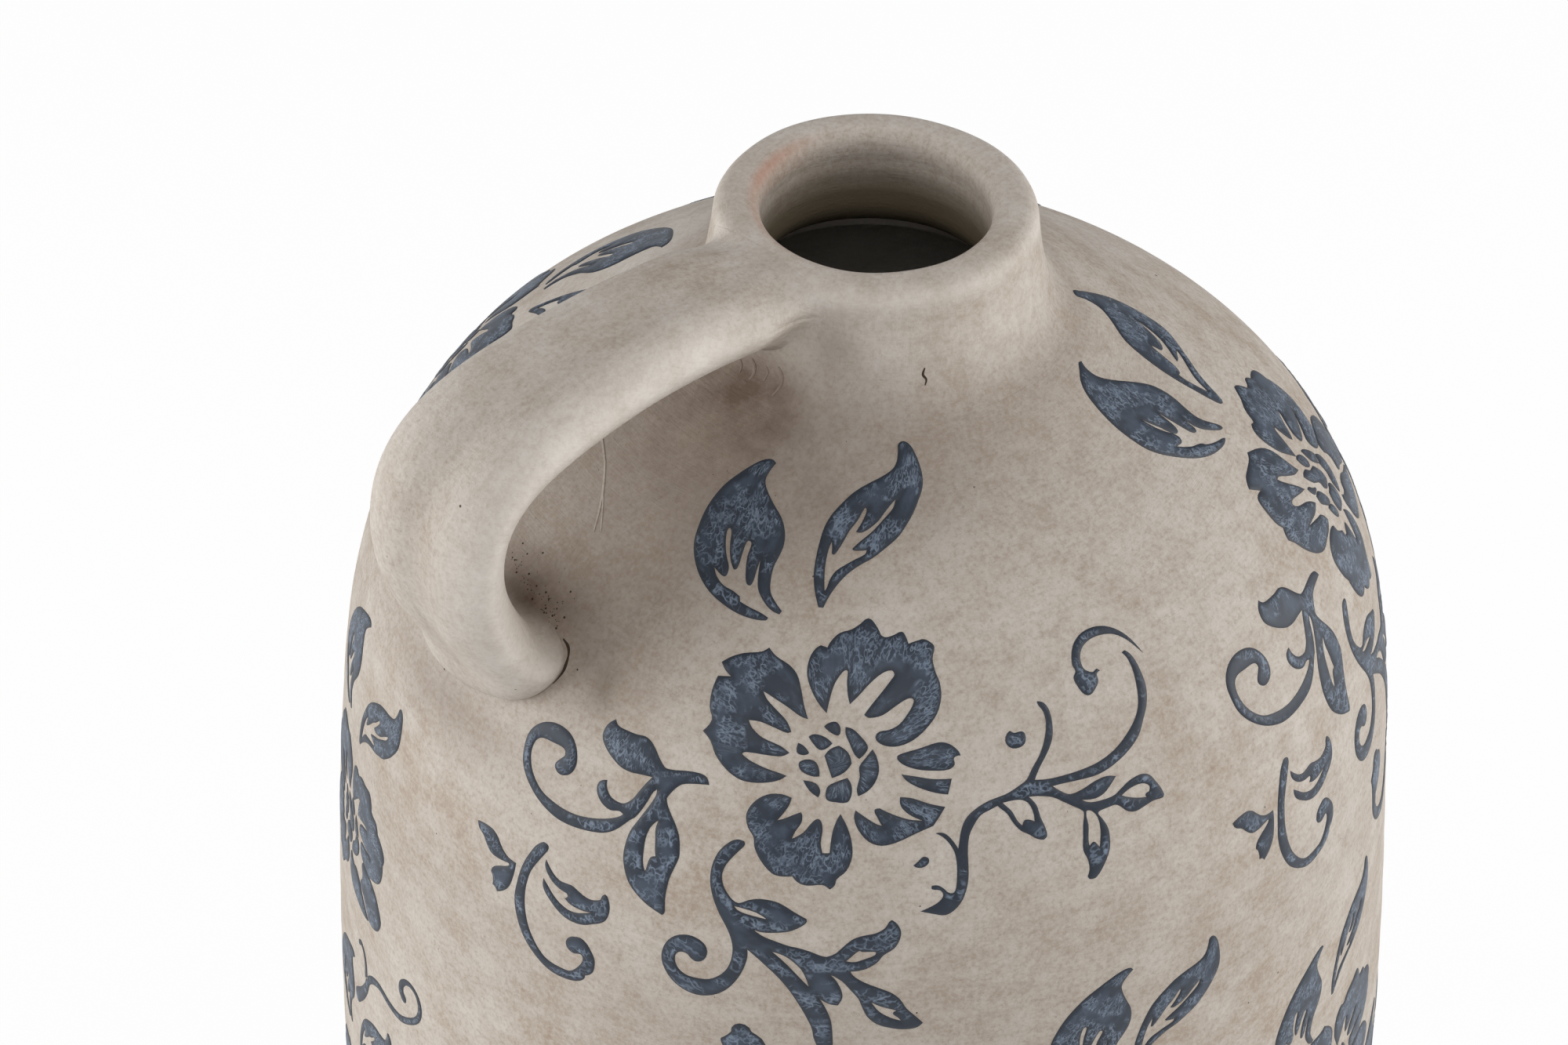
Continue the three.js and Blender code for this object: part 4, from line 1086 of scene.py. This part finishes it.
BROAD_LEAF_TWO = (
    "-8.2,16.3* -9,15.2 -9.4,13.8 -9.4,12.4 -8.8,10.8 -7.5,8.8 -6,6.8 -4.5,4.8 -3.2,2.8 -2.2,0.8 "
    "-1.8,-1.2 -1.7,-3 -2,-5 -2.7,-7.5 -3,-9.5 -2.7,-11.3 -1.8,-13.3 -1,-15.2 -1.2,-15.9* "
    "-2.2,-15.5 -3.6,-14 -5,-12.2 -5.8,-10.4 -6,-8.5 -5.9,-6.6* -6.2,-8.5 -6.4,-10 -7.1,-10.6 "
    "-8,-9.9 -8.3,-8 -8.5,-4.5 -8.6,-1.5* -8.9,-4 -9.4,-6.2 -10.2,-7.1 -11.2,-6.8 -11.8,-5 "
    "-11.9,-3.9* -12.6,-1.5 -13,0.6* -12.9,-2 -12.3,-4.6 -11.5,-6.4 -11.4,-7.9 -12.3,-8.7 "
    "-13.4,-8.4* -14,-8.3* -13,-9.6 -11.5,-11 -9.5,-12.2 -8.8,-13.3* -7.5,-14.4 -5.5,-15.6 "
    "-4,-16.4 -3.6,-16.9* -5.5,-17 -8,-16.3 -10.5,-15.2 -13,-13.5 -15,-11.5 -17,-8.8 -18.6,-6 "
    "-19.3,-3.5 -19.3,-1 -19,2 -18.3,5 -17.2,8 -15.8,11 -14.5,12.9 -12.8,14.5 -10.5,15.8 -9,16.6",
)
NARROW_LEAF_TWO = (
    "10.6,19.2* 10.8,19.8 12,20 13.5,18.2 15.5,15.6 17.5,12.6 19.2,9.4 20.3,6 20.8,2 20.7,-1.5 "
    "19.8,-3.6 18.3,-4.9 16,-6.2 13.5,-7.8 11,-9.6 9.2,-11.8 7.9,-14 7.2,-15.1* 6.5,-15.4* "
    "5.6,-14.8 5,-12.5 4.6,-9.5 4.2,-6 4,-2 4.2,1.5 4.8,5 5.8,8 7.2,9.6 9.2,11 11,12.4 11.9,13.8 "
    "12,15.4 11.6,17.2",
    "6.7,-11.5* 6.3,-9 6,-6.5 6.2,-4.7* 7.2,-4.9 8.2,-3.9 9,-1.5 9.6,0.8 10.1,1.9* 10.4,0.6 "
    "10.7,-0.6 11.6,-1.1 13,-0.8 14.4,0.6 15.6,2.8 16.1,4.6* 16.1,3 15.6,1 14.6,-1 13.2,-2.3 "
    "11.6,-3.4 10.3,-4.5* 11.5,-4.8 13,-4.7 14.3,-4.8* 13.4,-5.6 11.8,-6.5 10.2,-7.4 8.6,-8.6 "
    "7.6,-10.2 7,-11.5",
)

broad, narrow = flat_motif(BROAD_LEAF, (-11, 16)), flat_motif(NARROW_LEAF, (12.5, 22))
broad_two, narrow_two = (flat_motif(BROAD_LEAF_TWO, (-7, 22)),
                         flat_motif(NARROW_LEAF_TWO, (10, 25)))
# Below the top row every leaf hangs by its tip, turned and drawn smaller in the same way.
BY_BROAD_TIP = (-18, 0.9, (-12.3, 11.0))
BY_NARROW_TIP = (-19, 0.88, (11.5, 17.3))
leaves = [(broad, -7, 26), (narrow, -7, 26), (broad_two, 79.8, 26), (narrow_two, 79.8, 26),
          (broad, 171, 42), (narrow, 171, 42), (broad, -107.8, 32, -8, 1.1),
          (narrow_two, -112.5, 35.5, 0, 0.82),
          (broad, -71.4, 96, *BY_BROAD_TIP), (narrow, -58.6, 98.8, *BY_NARROW_TIP),
          (broad, 27.8, 119, *BY_BROAD_TIP), (narrow, 37.6, 120.7, *BY_NARROW_TIP),
          (broad, 55.5, 149.4, *BY_BROAD_TIP), (narrow, 67.1, 144.7, *BY_NARROW_TIP)]
# Most of the other flowers have their two leaves above them in the same place.
for turn_to, at in ((-20, 206), (102, 150), (146, 176), (-170, 152), (-122, 178), (-66, 240),
                    (-8, 262), (78, 262), (120, 236), (166, 258), (-142, 240), (-104, 266)):
    leaves += [(broad, turn_to - 2, at - 54, *BY_BROAD_TIP),
               (narrow, turn_to + 9, at - 52, *BY_NARROW_TIP)]
painted_piece("blue_leaves", leaves, *COAT)

# Blue sprigs. Left of each flower hangs a leafed sprig whose tail rolls into a curl, and
# below it a hooked stem with one leaf and a bud.
SPRIG = (
    "-2,18.5* -1.1,17.6 0.8,17.4 3,17.4 4.7,17.6 6.1,17.1 7.4,16 8.6,14.7 9.7,13.7 10.4,13.3 "
    "11.9,13.4 13.7,13.8 15.6,14.1 17.3,14.1 18.4,13.7 19.2,12.5* 18,12.3 16,11.9 14.3,11.3 "
    "13.2,10.1 12.4,8.6 12.2,7.9 12.8,6.6 13.9,5.1 15.2,3.4 16.3,1.4 16.9,-0.9 17.1,-2.5 "
    "16.6,-4.9 16.1,-7.1 15.9,-9.4 15.9,-11.6 16.1,-13.4 16.2,-14.6 15.8,-15.3* 14.5,-14.9 "
    "12.3,-14 10,-12.5 8.2,-10.7 7,-8.3 6.3,-5.7 6.3,-3.1 6.7,-0.5 7.6,1.7 8.6,4 9.5,6.2 10,7.9 "
    "9.9,9* 9.3,8.2 8.7,6.2 8,4.3 7.1,2.5 6.3,1.7 5.2,0.3 3.7,-1.4 1.9,-2.7 0,-3.4 -2.6,-4 "
    "-5.5,-4.4 -8.5,-4.4 -11.1,-3.8 -13.7,-2.7 -15.9,-1.2 -17.7,0.6 -18.9,2.7 -19.3,5.1 -19.2,7.9 "
    "-18.3,9.9 -16.6,11.6 -14.4,12.6 -12.2,12.8 -10.1,12.3 -8.5,11 -7.4,9 -7.2,6.9 -7.9,5.3 "
    "-9.2,4.4 -10.5,4.3 -11.5,5.1 -11.5,6 -10.7,7.1 -10,8* -10.3,9 -11.4,9.3 -13.3,9.2 -15.5,9 "
    "-16.8,8.2 -17.4,6.7 -17.4,4.7 -16.6,2.5 -15.1,0.6 -13.1,-0.8 -10.7,-1.5 -7.7,-1.9 -4.8,-1.8 "
    "-2,-1.2 0.4,-0.4 2.6,0.6 4.1,1.6 4.6,2.2* 3.7,2.5 1.9,2 0.2,2.5 -1.1,3.6 -1.8,5.1 -1.6,6.4 "
    "-0.9,7 -0.1,7.3* 0,6.4 0.6,5.3 1.7,4.4 3.4,4.1 4.5,4.4 5.8,5.8 6.5,7.3 7.3,9 8,10.3 "
    "8.4,10.9* 6.3,10.7 4.1,10.4 1.9,10.6 -0.3,11.6 -2.2,12.9 -3.4,14.3 -3.6,15.8 -3.1,17.3",
    "11.7,3.3* 11.5,1.7 11.9,-0.5 12.3,-2.7 12.6,-3.7* 11.7,-4.2 11.4,-5.3 11.2,-7 11,-7.2* "
    "10.4,-5.7 10.1,-3.4 10,-0.9 10.4,1.4 11.3,3",
)
HOOKED_SPRIG = (
    "2.1,16* 3.3,15.7 3.3,14.5* 2.6,13.2 1.7,11.5 0.9,9.9 0.1,8 -0.3,6.1 -0.6,3.8 -0.6,1.5 "
    "-0.4,-0.7 0.1,-3 0.9,-5.2 2.2,-7.3 3.8,-9.1 5.4,-10.2 7.3,-10.6 9.3,-10.6 10.9,-10.4 12,-9.6 "
    "13.1,-8.1 13.8,-6.7 13.9,-5.7 13.5,-5 12.6,-5.2 11.7,-5.5 10.5,-5.1 9.9,-4.1 10,-3 10.7,-2 "
    "11.8,-1.4 13.1,-1.1 14.4,-1.7 15.5,-3 16.4,-4.6 16.6,-6.2 16.4,-7.8 15.7,-8.9 14.7,-9.6* "
    "14.6,-10.4 13.8,-11.4 12.2,-12.3 9.9,-12.8 7.6,-12.9 5.4,-12.4 3.5,-11.4 1.5,-9.9 -0.3,-8 "
    "-1.7,-5.5 -2.7,-2.6 -3.1,0.6 -2.8,3.8 -2.3,7 -1.5,9.9 -0.4,12.5 0.7,14.6",
    "3.3,12.6* 4.3,11.4 5.5,10.3 7,9.6 8.6,9.7 9.9,9.8 11.5,9.2 13.1,8.7 14.4,8.7 15.5,9.1 "
    "16.2,9.6 16.5,10.6 17.1,11.1 17.8,10.4 18.3,9 18.4,7.4 18,5.7 17,4.5 15.4,3.5 13.5,2.4 "
    "11.5,1.9 9.3,2 7.3,2.8 5.5,4.1 3.9,5.6 3.3,6.9 3.3,8.2* 4.4,7.2 6,5.7 7.6,4.7 9.6,4.1 "
    "11.5,4.3 13.1,5 14.7,5.9* 13.1,5.5 11.5,5.4 9.9,5.6 8.6,6.3* 9.2,7 8.9,7.6* 7.3,7.8 5.7,8.4 "
    "4.3,9.5 3.3,11.1",
    "-14.5,11.4* -13,11.8 -10.6,11.9 -9.1,11.2 -8,9.9 -6.9,8.8 -5.6,8.1 -3.6,7.9* -3.7,6.1 -4,4.1 "
    "-4.6,1.9 -5.6,0.3 -6.9,-0.9 -7.7,-1.4* -8.2,-0.7 -9,-0.4* -8.9,0.4 -9.1,1.7 -9.6,2.5 "
    "-9.1,3.8 -7.8,4.8 -6.2,5.7 -5.2,6.5 -5.4,6.9* -6.9,6.6 -8.5,6.4 -10.1,6.6 -11.4,7.7 "
    "-12.5,9.1 -14,10.1",
)

sprig, hooked = flat_motif(SPRIG, (3, 30)), flat_motif(HOOKED_SPRIG, (3, 30))
painted_piece("blue_sprigs", [
    (sprig, -28, 89), (sprig, 56.9, 83.4, -7.1), (sprig, 146, 87, -4), (sprig, -136.5, 94),
    (sprig, 130, 168, 10, 0.95), (sprig, -140, 176, 0, 0.95), (hooked, -35, 115.5),
    (hooked, 49.2, 109.5), (hooked, 140, 113), (hooked, -143.5, 120), (hooked, 8, 216, 8),
    (hooked, -44, 214, -12), (hooked, 100, 206, 6), (hooked, -92, 214, -10)], *COAT)

# Blue vines. Right of each flower a branch climbs with leaves, a hook and two dots, and under
# it another hangs with four leaves and a curled end.
VINE_START = (
    "-24.4,-16.8* -22.5,-16 -20.8,-15 -20,-13.8 -20.5,-12.8 -21.9,-12.5 -21.9,-11.8* -20.8,-11.8 "
    "-19.8,-12.5 -19,-13.4 -18,-13.5 -17.4,-12 -17.1,-10 -16.9,-7.5 -17.1,-5.5 -17.8,-3.8 "
    "-18.8,-2.5 -20,-1.7* -18.5,-1.8 -17.3,-3 -16.3,-5* -15.9,-3.5 -15.4,-1.8 -14.3,0.3 -12.5,1.8 "
    "-10,3 -8,3.5 -6,3.9 -3.5,4.9 -1.8,5.8 ")
VINE_RISE = (
    "-0.5,7.5 1.3,9.5 2.8,12 3.8,14.8 3.8,17 3.1,18.5 3.1,19.1* 4.3,18.5 5,16.8 4.9,14 4.3,11.8 "
    "3,9.8 1.3,7.8 0,6 -0.3,5.4* 2,5 5,4.9 9,5 12.5,5.4 16,6.5 19,8.3 21.5,10.5 22.8,12.8 23.3,16 "
    "23.3,18.8 22.8,21 22,22.3* 22.8,22.4 24,20.8 24.8,18.3 25.2,15 24.5,12 23,9.5 21.5,7.3 "
    "19,5.5 15.5,4 ")
VINE_END = (
    "12,3.2 8,3.3 5,3.5 2.8,3.5* 4.5,2 6,1.2 8.5,1.5 11,2.2 13.5,2.4 15.4,1.8* 14.3,0.8 12.5,-0.5 "
    "10.5,-0.9 8,-0.4* 9.5,-1.3 12,-1.6 14.5,-1.5 16,-0.8 18,0.1 20.5,0.4 22.3,-0.3 23.5,-2 "
    "24.5,-3.8 24.9,-5* 24.5,-5.5 22.5,-5.3 20.5,-5.6 18.5,-5.9 16.8,-5.3 15.5,-4 14.5,-3.3 "
    "12.8,-3.3 11.3,-3.4 10.8,-3.8 11.5,-5 12.4,-7 12.6,-9 12.3,-11.5 11,-14 9.3,-16 8,-16.1 "
    "7.5,-15.4* 8,-14 7.8,-12 7.1,-10 7.3,-7.5 7.6,-5 8,-3.3 7.9,-2.5 6,-1 4.5,0.1 2.5,1.5 0,2.3 "
    "-2,2.6* -0.8,0.8 -0.4,-1.5 0.2,-3.5 0.4,-5.3 -0.3,-5.9* -1.5,-5.5 -3,-4.3 -4.4,-3.3 "
    "-5.5,-1.8 -6.5,0.3 -7.6,1.5 -8,2* -9.5,1.5 -11.3,0.8 -12.8,-0.8 -14,-2.8 -14.6,-5.5 -14.8,-8 "
    "-15.1,-11 -15.8,-13.5 -16.8,-15.5 -18.3,-17.1 -20,-17.9 -22,-17.5 ")
VINE_HEARTS = (
    "-7,2.4* -3.8,2.4 -2.3,1.5 -1.6,-0.5 -1.6,-2.1* -2.5,-1.6 -3.4,-1.5 -4,-2.4* -4.8,-1.3 "
    "-5.5,0.5 -6.5,1.8",
    "16,-2* 18,-1.3 20.5,-1.3 22,-2.3 21.8,-3.3* 21,-3.5 21.1,-4.1* 19,-3.5 17,-2.6",
    "8.5,-2.8 9.5,-2.9 10.6,-4.5 10.9,-7 10.6,-9.3 10.4,-10.3* 9.9,-9.5 9.3,-8.9 8.4,-9.5* 8.3,-8 "
    "8.6,-5.5",
)
VINE_HOOK = (
    "26.4,20.6* 25,22.5 23.5,24.3 21.5,25.9 19.3,26.7 17,26.9 15,26.4 13.8,25.3 13.3,23.8 "
    "13.5,22.3 14.3,21.5 15.2,21.1 16,21.4 16.6,20.9* 15.8,20.5 15.8,19.3 15,18.3 13.5,17.4 "
    "12.3,18 11.4,19.8 11.1,21.3 11.8,22.3 11.5,23.5 11.9,25.5 13,27.3 15,28.5 17.5,28.7 20,28 "
    "22.5,26.3 24.5,24",
    "-3.3,15 -2.5,14.5 -1,14.5 -0.5,13.8 -0.9,12.3 -2.3,11.7 -3.8,12.1 -4.4,13.5",
    "-24.8,-7.6* -23.8,-6.8 -22.8,-6 -21.9,-6.4 -22.1,-7.4 -23.3,-8.1 -24.3,-8",
)
HANGING_VINE = (
    "-13.1,26.6* -13,25.9 -14,24.6 -15.4,22.8 -16.5,21 -17,19 -16.6,17.1 -15.6,15.5 -14.5,14.5 "
    "-13.5,14.3 -11.7,15.3 -9.5,15.9 -6.7,15.8 -4.9,15.1 -3.1,14.1 -0.9,13* -0.9,12.3 -2,11.2 "
    "-4,10 -6.7,9.3 -9,9 -10.6,9.2* -9.9,8.7 -8.5,8 -6.7,7.5 -4,6.8 -2.2,6.6 -0.1,6.1 1.9,5.4 "
    "3,5.2* 4.6,6 6.2,7.8 7.8,9.4 9.6,10.2 11.9,10.8 13.5,11.9 14.2,13.2 14.7,13.6* 15.8,12.6 "
    "16.5,11 16.2,9 15.3,7.4 13.5,6 12.4,4.4 10.5,3 8.7,2.4 7.6,2.3* 8,1.5 9.2,0.5 10.8,-0.4 "
    "13.3,-1.5 15.5,-2.6 17.1,-4.2 18.3,-6.3 20.1,-8.3 21.5,-9.9* 20.3,-11 17.8,-11.3 15.1,-10.8 "
    "12.8,-9.9 11,-8.1 10,-5.8 9.2,-3.8 7.8,-2 6.2,-0.1 4.6,1 4,1.2* 5.1,-0.1 6,-2 6.3,-3.8 "
    "5.5,-5.7* 3.7,-5.4 1.7,-4.1* 2.4,-4.9 3.7,-7.6 4.4,-9.9 4.7,-12.6 4.8,-16 4,-21 1.5,-26* "
    "2.4,-21 2.2,-17 1.2,-14 0.8,-11.7 -0.1,-9.5 -1.7,-6.3 -3.5,-3.3 -5.8,-0.4 -8.5,2.1 -10.4,3.7 "
    "-11.7,4.7* -11.7,2.8 -12.4,0.1 -13.8,-2.9 -15.8,-5.6 -18.3,-7.4 -21.3,-8.2 -24.2,-7.6 "
    "-26.5,-6 -28.1,-3.3 -28.4,-0.8 -27.6,1.9 -25.8,4 -23.1,5 -21,4.6 -19.7,3.5 -19.4,1.9 "
    "-20.1,0.3 -21.5,-0.4 -22.6,0.1 -23.3,0.8 -24.5,0.9 -25.5,0.1 -25.7,-1.5 -25,-3.1 -23.5,-4.1 "
    "-21.3,-4.2 -19,-3.8 -17,-2.4 -15.6,-0.6 -14.8,1.5 -14.5,4.2 -14.9,6.5 -15.8,8.7 -17.2,11.2 "
    "-18.5,14.2 -19.2,17.4 -19,20.5 -17.9,23.5 -16,25.8 -14.5,26.7",
    "-14.5,13.5* -12.2,13.3 -10.4,13 -8.8,12.3 -8.3,11.9* -10.4,12.1 -12.6,12.4 -13.8,12.8",
    "-7.1,5.1* -4.9,4.6 -3.1,3.5 -1.5,1.9 -0.6,0.1 0,-1.8* -1,-0.8 -3.1,1.5 -4.9,3.3",
    "6.7,4.5* 7.6,5.5 9,6.9 9.6,6.7 11.5,6.8 12.1,6.7* 11.9,6 10.1,5.1 8.3,4.4",
    "11.7,-4.7* 13.3,-5.6 15.3,-6.3 16.5,-6.7* 15.8,-7.4 16.7,-8.3 17.4,-9.2* 15.5,-8.5 13.3,-7",
)
SIDE_VINE = (
    "-20,-25.5;3.6 -16.5,-21.5;3 -13.6,-17;2.4 -12,-13;2 -9,-10;1.9 -5,-8.3;1.8 0,-8.4;1.8 "
    "5,-7.6;1.8 9,-5;1.7 12.3,-1.5;1.6 13.3,2;1.5 12.2,4.8;1.4 10,5.9;1.3 7.5,5.3;1.4 5.6,3.2;1.8 "
    "5.4,1.0;2.2 6.5,-0.2;2.4",
    "-13.5,-13;1.6 -13.8,-10;1.3 -15,-7.5;1.2 -17,-6.5;1.2 -18.5,-7.5;1.4",
)
CURL = (
    "0,2.4;4 0.4,0;8.6 0,-3;7.4 -1.5,-7;3 -1,-11;2.6 2,-15;2.8 7,-17;3 11.5,-15;2.6 15,-11;2.2 "
    "16.4,-5;1",
)

climbing = flat_motif([VINE_START + VINE_RISE + VINE_END, *VINE_HEARTS, *VINE_HOOK], (0, 45))
short = flat_motif([VINE_START + "0,5.6 13.6,5* " + VINE_END, *VINE_HEARTS], (0, 45))
hanging, side, curl = (flat_motif(texts, (0, 45)) for texts in (HANGING_VINE, SIDE_VINE, CURL))
painted_piece("blue_vines", [
    (climbing, 19.5, 80), (short, 106.4, 81), (climbing, -167, 80), (side, -57, 170),
    (hanging, -4.5, 112), (hanging, 79.2, 109.3), (hanging, 169, 111), (hanging, -113, 117),
    (hanging, 124, 192), (hanging, -146, 196), (curl, -10.9, 129.3), (curl, 71, 126.5),
    (curl, 158.3, 128), (hanging, 50, 252, -10), (hanging, -36, 262, 12)], *COAT)

# Flaws. What the potter's tools and the kiln left beside the handle: hairs and drags of clay
# that stand up under the wash, pits where coarse grains burnt out, and open cracks round the
# foot of the strap, the last of them partly a painted shadow in the gap under the strap's toe.
PIT_COLOUR = "#40362E"
RIDGES = (
    "-9.2,7.4;0.2 -8.7,6.5;0.35 -2.9,3.5;0.4 1.7,-0.5;0.4 4.6,-4;0.35 7,-7.5;0.2",
    "2.9,-1.4;0.2 5.2,-3.6;0.25 8.1,-6.6;0.2",
)
CRACKS = (
    "-13.6,5.4;0.3 -11.6,5.2;0.8 -10,4.4;0.5 -8.8,4;1 -7.4,3.2;0.3",
    "-11.2,4.9;0.4 -11.2,2;0.5 -10.4,-0.6;0.3",
    # This stroke is partly a crack and partly a painted shadow in the gap under the strap's toe.
    "11.8,20;0.3 13.6,19.3;0.6 14.8,17.8;0.4 15.5,15.6;0.7 15.6,14;0.4 15.1,12;0.3",
)
NICK = ("0,1.6;0.3 -0.4,0.4;0.5 0.2,-0.6;0.4 -0.1,-1.6;0.25",)
NECK_RIDGES = (
    "-7.1,-0.2;0.3 -6.4,-1;0.5 -6.2,-2.2;0.3",
    "-4.4,1.2;0.3 -3.4,0.2;0.7 -3.1,-1.2;0.6 -3.4,-2.4;0.3",
    "-1,1.2;0.3 -0.2,0.2;0.5 -0.4,-1.4;0.3",
    "1.8,2;0.3 2.8,1;0.5 3.3,-0.8;0.5 2.6,-3.4;0.3",
)
PITS = 90
FOOT_SHARE = 0.75        # this many of the pits lie by the foot of the strap

pit_clay, tree = new_finish("burnt_out_pits")
shader = add_node(tree, "ShaderNodeBsdfPrincipled",
                  {"Base Color": linear(PIT_COLOUR), "Roughness": 0.9, "Specular IOR Level": 0.1})
add_node(tree, "ShaderNodeOutputMaterial", {"Surface": shader.outputs[0]})

# Ridges stand up like slip. Cracks and pits are dark places almost flush with the wash.
painted_piece("clay_ridges", [(flat_motif(RIDGES), -52, 35)], (0.14, 0.3), wash, "washed_clay",
              (("stain_and_shade", 0.12),))
painted_piece("neck_ridges", [(flat_motif(NECK_RIDGES), -33, 0)], (0.08, 0.25), wash,
              "washed_clay", (("stain_and_shade", 0.8),), collar)
painted_piece("neck_nick", [(flat_motif(NICK), 17, -3)], (0.02, 0.05), pit_clay, "bare_clay",
              ground=collar)
painted_piece("foot_cracks_and_shadow", [(flat_motif(CRACKS), -48, 82)], (0.02, 0.05), pit_clay, "bare_clay")

# The pits lie thick along the inner side of the strap's foot and thin out over the shoulder.
rng = np.random.default_rng(11)
share = rng.random(PITS)
near_foot = share < FOOT_SHARE
turn_to = np.where(near_foot, -57 + 16 * rng.random(PITS) ** 0.7, -62 + 70 * rng.random(PITS))
at_foot = 56.5 + 0.32 * (turn_to + 57.5) - np.abs(rng.normal(0, 2.4, PITS))
at = np.where(near_foot, at_foot, 8 + 150 * rng.random(PITS) ** 1.4)
wide = 0.22 + 0.4 * rng.random(PITS) ** 3
round_pit = flat_motif(("0.4,0 0.2,0.35 -0.2,0.35 -0.4,0 -0.2,-0.35 0.2,-0.35",))
painted_piece("burnt_pits", [(round_pit, *place, 0, size) for *place, size in
                             np.stack([turn_to, at, wide], 1).tolist()],
              (0.02, 0.04), pit_clay, "bare_clay")

# Studio. A pale floor that keeps the soft shadow of the pot, plain light from a large lamp at
# either side and a weaker one beside the camera, and the photograph's camera.
LENS = 65.0
SENSOR = 36.0
CAMERA = (-313.27, -317.68, 654.63)
LOOK = (0.50932, 0.55835, -0.65486)
# Each lamp's name, its place and width in metres, and its power in watts.
LAMPS = (("right", (0.85, -0.9, 0.66), 1.0, 11.3), ("left", (-1.1, 0.72, 0.52), 1.0, 12.2),
         ("front", (-0.62, -0.62, 1.15), 0.5, 3.2))
LAMP_AIM = (0, 0, 0.25)
FLOOR_REACH = 4.0
FLOOR_GLOW = 0.96        # the share of plain white in the floor that the camera sees
ROOM_LIGHT = 0.39
WHITE = (1, 1, 1, 1)

paper, tree = new_finish("studio_paper")
path = add_node(tree, "ShaderNodeLightPath")
seen = path.outputs["Is Camera Ray"]
for ray in ("Is Glossy Ray", "Is Transmission Ray"):
    seen = add_node(tree, "ShaderNodeMath", {0: seen, 1: path.outputs[ray]},
                    operation="MAXIMUM").outputs[0]
share = add_node(tree, "ShaderNodeMath", {0: seen, 1: FLOOR_GLOW}, operation="MULTIPLY")
cloth = add_node(tree, "ShaderNodeBsdfDiffuse", {"Color": linear("#F2F2F2")})
glow = add_node(tree, "ShaderNodeEmission", {"Color": WHITE, "Strength": 1.0})
both = add_node(tree, "ShaderNodeMixShader", {0: share.outputs[0], 1: cloth.outputs[0],
                                              2: glow.outputs[0]})
add_node(tree, "ShaderNodeOutputMaterial", {"Surface": both.outputs[0]})
floor_mesh = bpy.data.meshes.new("floor")
floor_mesh.from_pydata([(x * FLOOR_REACH, y * FLOOR_REACH, 0) for x, y in
                        ((-1, -1), (1, -1), (1, 1), (-1, 1))], [], [(0, 1, 2, 3)])
floor_mesh.materials.append(paper)
floor = bpy.data.objects.new("floor", floor_mesh)
bpy.context.scene.collection.objects.link(floor)

world = bpy.data.worlds.new("studio")
bpy.context.scene.world = world
world.use_nodes = True
tree = world.node_tree
tree.nodes.clear()
path = add_node(tree, "ShaderNodeLightPath")
room = add_node(tree, "ShaderNodeBackground",
                {"Color": linear("#F4F6FA"), "Strength": ROOM_LIGHT})
white = add_node(tree, "ShaderNodeBackground", {"Color": WHITE, "Strength": 1.0})
both = add_node(tree, "ShaderNodeMixShader", {0: path.outputs["Is Camera Ray"],
                                              1: room.outputs[0], 2: white.outputs[0]})
add_node(tree, "ShaderNodeOutputWorld", {"Surface": both.outputs[0]})

for name, place, size, power in LAMPS:
    lamp = bpy.data.lights.new(name, "AREA")
    lamp.size = size
    lamp.energy = power
    lamp_object = bpy.data.objects.new(name, lamp)
    lamp_object.location = place
    aim = Vector(LAMP_AIM) - Vector(place)
    lamp_object.rotation_euler = aim.to_track_quat("-Z", "Y").to_euler()
    bpy.context.scene.collection.objects.link(lamp_object)

camera = bpy.data.cameras.new("camera")
camera.lens = LENS
camera.sensor_width = SENSOR
camera.clip_start = 0.05
camera_object = bpy.data.objects.new("camera", camera)
camera_object.location = Vector(CAMERA) * MM
camera_object.rotation_euler = Vector(LOOK).to_track_quat("-Z", "Y").to_euler()
bpy.context.scene.collection.objects.link(camera_object)
bpy.context.scene.camera = camera_object
bpy.context.scene.view_settings.view_transform = "Standard"
